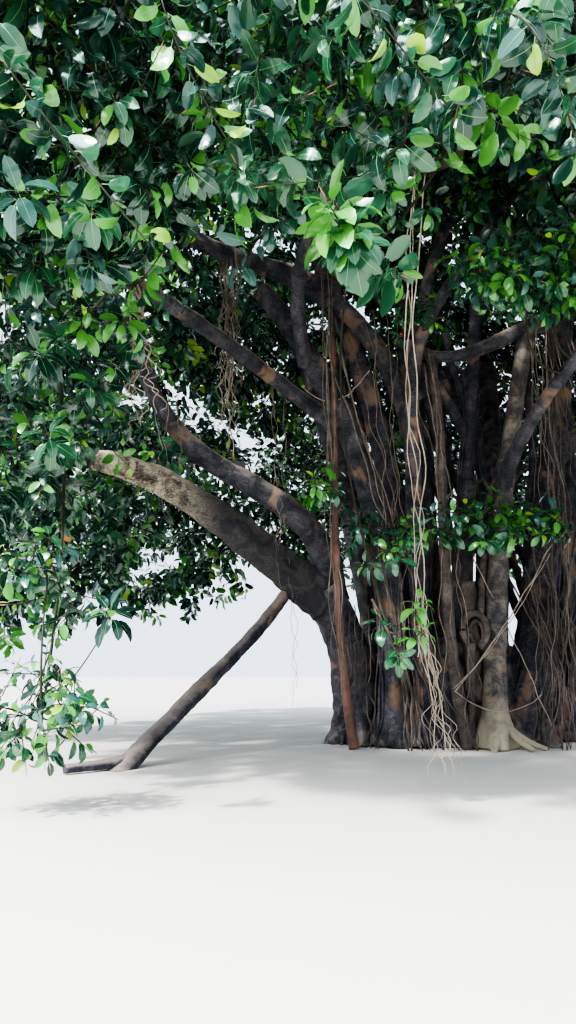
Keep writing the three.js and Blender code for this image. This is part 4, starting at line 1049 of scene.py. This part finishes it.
# Leafy shoots. Every twig ends in a shoot and most bear a few more along them. A shoot turns up at
# its tip and carries its leaves in a spiral, each turned 137.5 degrees from the last, the youngest
# standing up at the tip and the oldest spreading and drooping.
SPIRAL = math.radians(137.5)
SHOOT_LENGTH = (0.32, 0.8)
SHOOT_PLACES = ((1.0, 0.0), (0.72, 1.0), (0.45, -1.0))
SIDE_LEAN = 0.9
OUTWARD_LEAN = 0.45
UPWARD_LEAN = 0.15
OLD_TILT = 98
YOUNG_TILT = 34
SIZE_RANGE = (0.78, 1.15)
LEAF_STEP = 0.052
TUFT_STEP = 0.013
YOUNG_LEAF = 0.6
DROOP = 0.62
STALK = 0.2


def shoots_of(name):
    """The shoots of one mass as starts, headings and lengths. They leave a twig to one side or
    the other, and lean out of the crown and upwards."""
    starts, bends, ends = grown[name]
    mass = masses[name]
    feet = []
    ways = []
    for share, lean in SHOOT_PLACES[:mass["shoots"]]:
        foot = starts * (1 - share) ** 2 + bends * 2 * share * (1 - share) + ends * share ** 2
        along = unit(2 * (1 - share) * (bends - starts) + 2 * share * (ends - bends))
        outward = unit(foot - mass["centre"] * (0.6, 0.6, 0.75))
        across = random.normal(0, 1, foot.shape)
        across = unit(across - along * (across * along).sum(axis=1, keepdims=True))
        way = along * (1 - 0.55 * abs(lean)) + across * SIDE_LEAN * abs(lean)
        way = way + outward * OUTWARD_LEAN + (0, 0, UPWARD_LEAN)
        feet.append(foot)
        ways.append(unit(way + random.normal(0, 0.16, way.shape)))
    feet = np.concatenate(feet)
    reach = random.uniform(*SHOOT_LENGTH, len(feet)) * min(1, 0.3 + 0.3 * mass["size"])
    return feet, np.concatenate(ways), reach


def leaves_of(feet, ways, lengths, many, leaf, step):
    """Leaves in a spiral round each shoot, one at every step back from its tip: their bases, the
    way each points, the way its face looks, its length, the number of its shoot and its age."""
    age = np.arange(many)[None, :, None]
    share = 1 - (age + 0.4) / many
    turn = random.uniform(0, 2 * np.pi, (len(feet), 1, 1)) + SPIRAL * age
    reference = np.where(np.abs(ways[:, 2:]) < 0.85, np.array([[0, 0, 1.0]]), np.array([[1.0, 0, 0]]))
    side = unit(np.cross(reference, ways))
    rise = np.cross(ways, side)
    tilt = np.radians(OLD_TILT - (OLD_TILT - YOUNG_TILT) * share)
    tilt = tilt + random.normal(0, 0.13, (len(feet), many, 1))
    axis = ways[:, None]
    radial = np.cos(turn) * side[:, None] + np.sin(turn) * rise[:, None]
    along = np.cos(tilt) * axis + np.sin(tilt) * radial
    along[..., 2] -= DROOP * (1 - share[..., 0]) * random.uniform(0.4, 1.6, (len(feet), many)) + 0.06
    along = unit(along)
    face = axis * 0.65 + np.array((0, 0, 0.6)) + random.normal(0, 0.2, along.shape)
    face = unit(face - along * (face * along).sum(axis=2, keepdims=True))
    back = step * (age + 0.3)
    base = feet[:, None] + axis * (lengths[:, None, None] - back) + radial * 0.012
    size = leaf * (1 - (1 - YOUNG_LEAF) * share[..., 0] ** 3)
    size = size * random.uniform(*SIZE_RANGE, (len(feet), many))
    shoot = np.broadcast_to(np.arange(len(feet))[:, None], size.shape)
    ages = np.broadcast_to(np.arange(many)[None], size.shape)
    on = lengths[:, None] > back[..., 0]
    return base[on], along[on], face[on], size[on], shoot[on], ages[on]


# Leaf blades are thick, glossy and elliptic with a short point, folded a little along a pale midrib
# and arched downwards. The full outline is for the front of the crown and the low shoots. The leaves
# of the rest have fewer faces and are a quarter larger than life, so that fewer of them fill it.
HALF_WIDTH = (0.24, 0.02)
FOLD = 0.2
FULL_BLADE = np.array([(0, 0), (0.3, 0), (0.64, 0), (1, 0),
                       (0.08, 0.55), (0.32, 0.97), (0.62, 1.0), (0.87, 0.6),
                       (0.08, -0.55), (0.32, -0.97), (0.62, -1.0), (0.87, -0.6)])
FULL_FACES = np.array([(0, 1, 5, 4), (1, 2, 6, 5), (2, 3, 7, 6),
                       (0, 8, 9, 1), (1, 9, 10, 2), (2, 10, 11, 3)])
SIMPLE_BLADE = np.array([(0, 0), (0.48, 0), (1, 0), (0.17, 0.78), (0.68, 0.9), (0.17, -0.78), (0.68, -0.9)])
SIMPLE_FACES = np.array([(0, 1, 4, 3), (0, 5, 6, 1)])
SIMPLE_TIPS = np.array([(1, 2, 4), (1, 6, 2)])
FAR_LEAF = 1.25
RIB_PLACES = np.array([(-STALK, 0), (0, 0), (0.3, 0), (0.64, 0), (1, 0)])
RIB_WIDTHS = np.array([0.01, 0.012, 0.01, 0.007, 0.002])
RIB_FACES = np.array([(0, 2, 3, 1), (2, 4, 5, 3), (4, 6, 7, 5), (6, 8, 9, 7)])
RIB_LIFT = 0.0015


def blades(base, along, face, size, outline, lift=0.0):
    """Leaf blades: a point at share a along and w across lies at size * sin(k a) / k past the
    stalk and size * (1 - cos(k a)) / k below its face, and its halves are raised by the fold. k
    and the width differ from leaf to leaf by sines of its size."""
    side = np.cross(face, along)
    arch = (0.4 + 0.9 * np.abs(np.sin(size * 997)))[:, None]
    width = (HALF_WIDTH[0] + HALF_WIDTH[1] * np.sin(size * 1511))[:, None] * size[:, None]
    a = outline[:, 0][None]
    w = outline[:, 1][None]
    forward = size[:, None] * (STALK + np.sin(arch * a) / arch)
    fall = size[:, None] * (1 - np.cos(arch * a)) / arch
    raised = FOLD * np.abs(w) * width - fall + lift
    return (base[:, None] + along[:, None] * forward[..., None] + side[:, None] * (w * width)[..., None]
            + face[:, None] * raised[..., None]).reshape(-1, 3)


def many_faces(faces, points_each, count):
    """One leaf's faces repeated for count leaves."""
    return (faces[None] + points_each * np.arange(count)[:, None, None]).reshape(-1, faces.shape[1])


VEIN_MM = 40


def leaf_material(name, colour, roughness):
    """A leathery waxed leaf of one colour: the wax is a clear thin coat over it with a cool
    sheen, and the veins ripple it faintly. They are drawn coarser than life, so that they
    show."""
    material, tree = new_material(name)
    place = add_node(tree, "ShaderNodeTexCoord").outputs["Object"]
    ripple = add_node(tree, "ShaderNodeTexNoise", links={"Vector": place},
                      values={"Scale": 1000 / VEIN_MM, "Detail": 2})
    bump = add_node(tree, "ShaderNodeBump", links={"Height": ripple.outputs["Fac"]},
                    values={"Strength": 0.3, "Distance": 0.004})
    shader = add_node(tree, "ShaderNodeBsdfPrincipled", links={"Normal": bump.outputs["Normal"]},
                      values={"Base Color": linear(colour), "Roughness": roughness, "IOR": 1.5,
                              "Specular IOR Level": 0.9, "Specular Tint": linear("#cdebd6"),
                              "Coat Weight": 0.45, "Coat Roughness": 0.1})
    add_node(tree, "ShaderNodeOutputMaterial", links={"Surface": shader.outputs["BSDF"]})
    return material


# The greens are dealt out by shoot: mostly old dark leaves, then full-grown green ones, bright ones
# that are partly young growth and partly painted sunlight shining through, yellow-green young ones,
# grey-green ones whose colour is a painted sheen of the sky on their wax, and now and then an old
# leaf turned orange. Each has its colour, its roughness and its share.
LEAF_KINDS = {
    "dark": ("#16332a", 0.2, 0.42),
    "green": ("#2b563b", 0.22, 0.316),
    # Partly painted light: bright green for young leaves and for leaves lit through by the sun.
    "bright": ("#55903f", 0.25, 0.135),
    "young": ("#8fb53c", 0.3, 0.012),
    # Painted sheen: a grey-teal that stands in for the sky's reflection on the wax.
    "dusty": ("#3c5f59", 0.24, 0.117),
}
ORANGE_SHARE = 0.0006
leaf_materials = {}
for kind, (colour, roughness, share) in LEAF_KINDS.items():
    leaf_materials[kind] = leaf_material(f"{kind}_leaf", colour, roughness)
leaf_materials["orange"] = leaf_material("orange_old_leaf", "#b5651f", 0.5)
# The places of the kinds after dark in that list.
GREEN, BRIGHT, YOUNG, PAINTED_SHEEN, ORANGE = range(1, len(leaf_materials))
KIND_LIMITS = np.cumsum([share for colour, roughness, share in LEAF_KINDS.values()])
# A midrib is paler than its blade and less glossy, and the sheath round a bud is a waxy dull pink.
MIDRIB = leaf_material("pale_midrib", "#6d9862", 0.4)
SHEATH = leaf_material("pink_shoot_sheath", "#b0685a", 0.42)
MOST_TRIANGLES = 190000
GROUPS = {
    "front": ["fore_left_bough_leaves", "front_left_bough_leaves", "overhanging_leaves"],
    "fore": ["front_right_bough_leaves", "forward_bough_leaves", "upper_left_bough_leaves"],
    "left": ["low_left_bough_leaves", "second_left_bough_leaves", "left_back_bough_leaves"],
    "right": ["right_bough_leaves", "side_bough_leaves", "right_stem_leaves", "high_right_bough_leaves"],
    "back": ["right_back_bough_leaves", "back_left_bough_leaves", "back_right_stem_leaves",
             "back_left_stem_leaves"],
    "top": ["dark_stem_leaves", "upright_stem_leaves", "far_right_stem_leaves", "back_stem_leaves",
            "middle_stem_leaves"],
    "shoot": list(SIDE_BRANCHES)[1:],
}
FULL_GROUPS = ("front", "shoot")
# Shoots that stand in the light are given mostly green and bright leaves, as painted sunlight, and
# the ones before the trunk, in the crown's shade, mostly green, painted-sheen and bright ones, as
# painted light there.
SUNNY = ("front_hanging_shoot", "upper_hanging_sprig", "middle_hanging_sprig", "lower_hanging_sprig",
         "last_hanging_sprig", "high_tuft", "small_tuft", "bright_sprig")
MOSTLY_GREEN = ("front_tuft", "near_spray", "right_spray", "trunk_shoot", "pillar_sprig", "leaning_sprig",
                "upright_sprig", "pale_sprig")
GREEN_SHARE = 0.5
GREEN_OR_PAINTED_SHEEN_SHARE = 0.75
BRIGHTER_SHARE = 0.4
YELLOWER_SHARE = 0.22
BUDDING_SHARE = 0.3
# Long leading shoots that arch down in front, each with its mass, a place it passes and its tip.
LEADERS = [
    ("overhanging_leaves", (-5.35, -11.0, 5.65), (-4.2, -10.95, 4.1)),
    ("front_left_bough_leaves", (-3.95, -10.8, 6.6), (-3.72, -10.85, 4.95)),
    ("front_left_bough_leaves", (-2.85, -11.1, 5.9), (-2.25, -10.97, 5.15)),
    ("front_left_bough_leaves", (-1.81, -11.06, 5.75), (-1.32, -10.87, 4.7)),
]
LEADER_PLACES = 90
LEADER_BARE = 36
LEAF_CLEARANCE = 0.012
SPRIG_OVERREACH = 0.2
for group, names in GROUPS.items():
    full = group in FULL_GROUPS
    parts = []
    bare_stems = []
    sheaths = []
    leader_rods = []
    sources = []
    for name in names:
        mass = masses[name]
        step = LEAF_STEP if mass["size"] > 0.6 else TUFT_STEP
        sources.append((name, *shoots_of(name), mass["leaves"], mass["leaf"], step))
    for bearer, start, tip in LEADERS if group == "front" else []:
        centre = masses[bearer]["centre"]
        line = arched(centre, 2 * np.array(start) - (centre + tip) / 2, tip, 60)
        line = respaced(line, LEADER_PLACES)
        ways = unit(np.gradient(line, axis=0))
        leader_rods.append(rods(line[None], np.linspace(0.01, 0.005, LEADER_PLACES)[None], 7))
        lengths = np.full(LEADER_PLACES - LEADER_BARE, 0.03)
        sources.append((bearer, line[LEADER_BARE:], ways[LEADER_BARE:], lengths, 1, 0.24, LEAF_STEP))
    for name, feet, ways, lengths, many, leaf, step in sources:
        mass = masses[name]
        base, along, face, size, shoot, age = leaves_of(feet, ways, lengths, many, leaf, step)
        size = size * (1 if full else FAR_LEAF)
        margin = 0.0 if mass["room"] else -SPRIG_OVERREACH
        kept = np.ones(len(base), bool)
        for share in (0.0, 0.6, 1 + STALK):
            points = base + along * (size * share)[:, None]
            if many > 1:
                kept &= in_space(name, points, margin) & clear_of_limbs(name, points, LEAF_CLEARANCE)
            kept &= ((points > CAD_LOW) & (points < CAD_HIGH)).all(axis=1)
        height = np.clip((feet[:, 2] - mass["centre"][2]) / mass["size"], -1, 1)
        dealt = np.clip(random.random(len(feet)) + 0.1 * height, 0, 0.9999)
        kind = np.searchsorted(KIND_LIMITS, dealt)
        # Painted light: lighter kinds for the shoots in the sun and for those under the crown before the
        # trunk.
        if name in SUNNY:
            kind = np.where(dealt < GREEN_OR_PAINTED_SHEEN_SHARE, GREEN, BRIGHT)
        if name in MOSTLY_GREEN:
            lighter = np.where(dealt < GREEN_OR_PAINTED_SHEEN_SHARE, PAINTED_SHEEN, BRIGHT)
            kind = np.where(dealt < GREEN_SHARE, GREEN, lighter)
        kind = kind[shoot]
        newer = (age < 3) & (kind < YOUNG) & (random.random(len(base)) < BRIGHTER_SHARE) & (many > 1)
        kind = np.where(newer, BRIGHT, kind)
        newest = (age < 2) & (kind == BRIGHT) & (random.random(len(base)) < YELLOWER_SHARE)
        kind = np.where(newest, YOUNG, kind)
        kind = np.where(random.random(len(base)) < ORANGE_SHARE, ORANGE, kind)
        parts.append((base[kept], along[kept], face[kept], size[kept], kind[kept]))
        if full:
            tips = feet + ways * (lengths + 0.02)[:, None]
            good = in_space(name, tips, margin)
            bare_stems.append(np.stack([feet[good], (feet[good] + tips[good]) / 2, tips[good]], axis=1))
            budding = good & (random.random(len(feet)) < BUDDING_SHARE) & (many > 1)
            buds = [tips[budding] + ways[budding] * far for far in (0, 0.04, 0.11)]
            sheaths.append(np.stack(buds, axis=1))
    base, along, face, size, kind = (np.concatenate(column) for column in zip(*parts))
    outline, flats = (FULL_BLADE, [FULL_FACES]) if full else (SIMPLE_BLADE, [SIMPLE_FACES, SIMPLE_TIPS])
    faces_each = sum(len(flat) * (flat.shape[1] - 2) for flat in flats)
    nodes = [name for name in names if masses[name]["node"]]
    for number, (label, green) in enumerate(leaf_materials.items()):
        chosen = np.flatnonzero(kind == number)
        if len(chosen) == 0:
            continue
        pieces = int(np.ceil(len(chosen) * faces_each / MOST_TRIANGLES))
        for part, some in enumerate(np.array_split(chosen, pieces)):
            points = blades(base[some], along[some], face[some], size[some], outline)
            faces = [many_faces(flat, len(outline), len(some)) for flat in flats]
            add_mesh(f"{group}_{label}_leaves_{part + 1}", points, faces, green, nodes)
    if full:
        lines = np.concatenate(bare_stems)
        add_piece(f"{group}_green_stems", [], TWIG_BARK,
                  extra=[rods(lines, np.tile((0.007, 0.006, 0.004), (len(lines), 1)), 4), *leader_rods])
        lines = np.concatenate(sheaths)
        add_piece(f"{group}_sheaths", [], SHEATH,
                  extra=[rods(lines, np.tile((0.005, 0.006, 0.001), (len(lines), 1)), 4)])
        lines = blades(base, along, face, size, RIB_PLACES, RIB_LIFT).reshape(len(base), 5, 3)
        side = np.cross(face, along)[:, None] * (size[:, None] * RIB_WIDTHS)[..., None]
        strips = np.stack([lines - side, lines + side], axis=2).reshape(-1, 3)
        faces = [many_faces(RIB_FACES, 10, len(base))]
        add_mesh(f"{group}_midribs", strips, faces, MIDRIB, ())


# The studio: a pale floor, even light from all round, a key light and a broad soft light that both
# come from high at the front left, and the camera where the picture was taken, at eye height and
# looking up a little.
floor_mesh = bpy.data.meshes.new("studio_floor")
floor_mesh.from_pydata([(-90, -60, 0), (90, -60, 0), (90, 120, 0), (-90, 120, 0)], [], [(0, 1, 2, 3)])
floor_material, floor_tree = new_material("pale_studio_floor")
floor_shader = add_node(floor_tree, "ShaderNodeBsdfPrincipled",
                        values={"Base Color": linear("#d9d5cc"), "Roughness": 0.9})
add_node(floor_tree, "ShaderNodeOutputMaterial", links={"Surface": floor_shader.outputs["BSDF"]})
floor_mesh.materials.append(floor_material)
floor = bpy.data.objects.new("studio_floor", floor_mesh)
bpy.context.scene.collection.objects.link(floor)

world = bpy.data.worlds.new("studio_light")
bpy.context.scene.world = world
world.use_nodes = True
world.node_tree.nodes.clear()
sky = add_node(world.node_tree, "ShaderNodeBackground", values={"Color": linear("#dfebfb"), "Strength": 1.9})
add_node(world.node_tree, "ShaderNodeOutputWorld", links={"Surface": sky.outputs["Background"]})
bpy.context.scene.view_settings.look = "AgX - High Contrast"

key = bpy.data.lights.new("key_light", "SUN")
key.energy = 5.6
key.angle = math.radians(3)
key.color = (1.0, 0.98, 0.95)
key_object = bpy.data.objects.new("key_light", key)
key_object.rotation_euler = (math.radians(40), math.radians(-24), math.radians(-14))
bpy.context.scene.collection.objects.link(key_object)

broad = bpy.data.lights.new("broad_light", "AREA")
broad.shape = "SQUARE"
broad.size = 18
broad.energy = 14500
broad.color = (0.93, 0.97, 1.0)
broad_object = bpy.data.objects.new("broad_light", broad)
broad_object.location = (-13, -22, 21)
broad_object.rotation_euler = (math.radians(55), 0, math.radians(-32))
broad_object.visible_camera = False
bpy.context.scene.collection.objects.link(broad_object)

camera = bpy.data.cameras.new("photo_view")
camera.sensor_width = 36
camera.lens = 27.04
camera.clip_end = 400
camera_object = bpy.data.objects.new("photo_view", camera)
camera_object.location = (-3.3, -15.5, 1.4)
camera_object.rotation_euler = (math.radians(101.5), 0, 0)
bpy.context.scene.collection.objects.link(camera_object)
bpy.context.scene.camera = camera_object
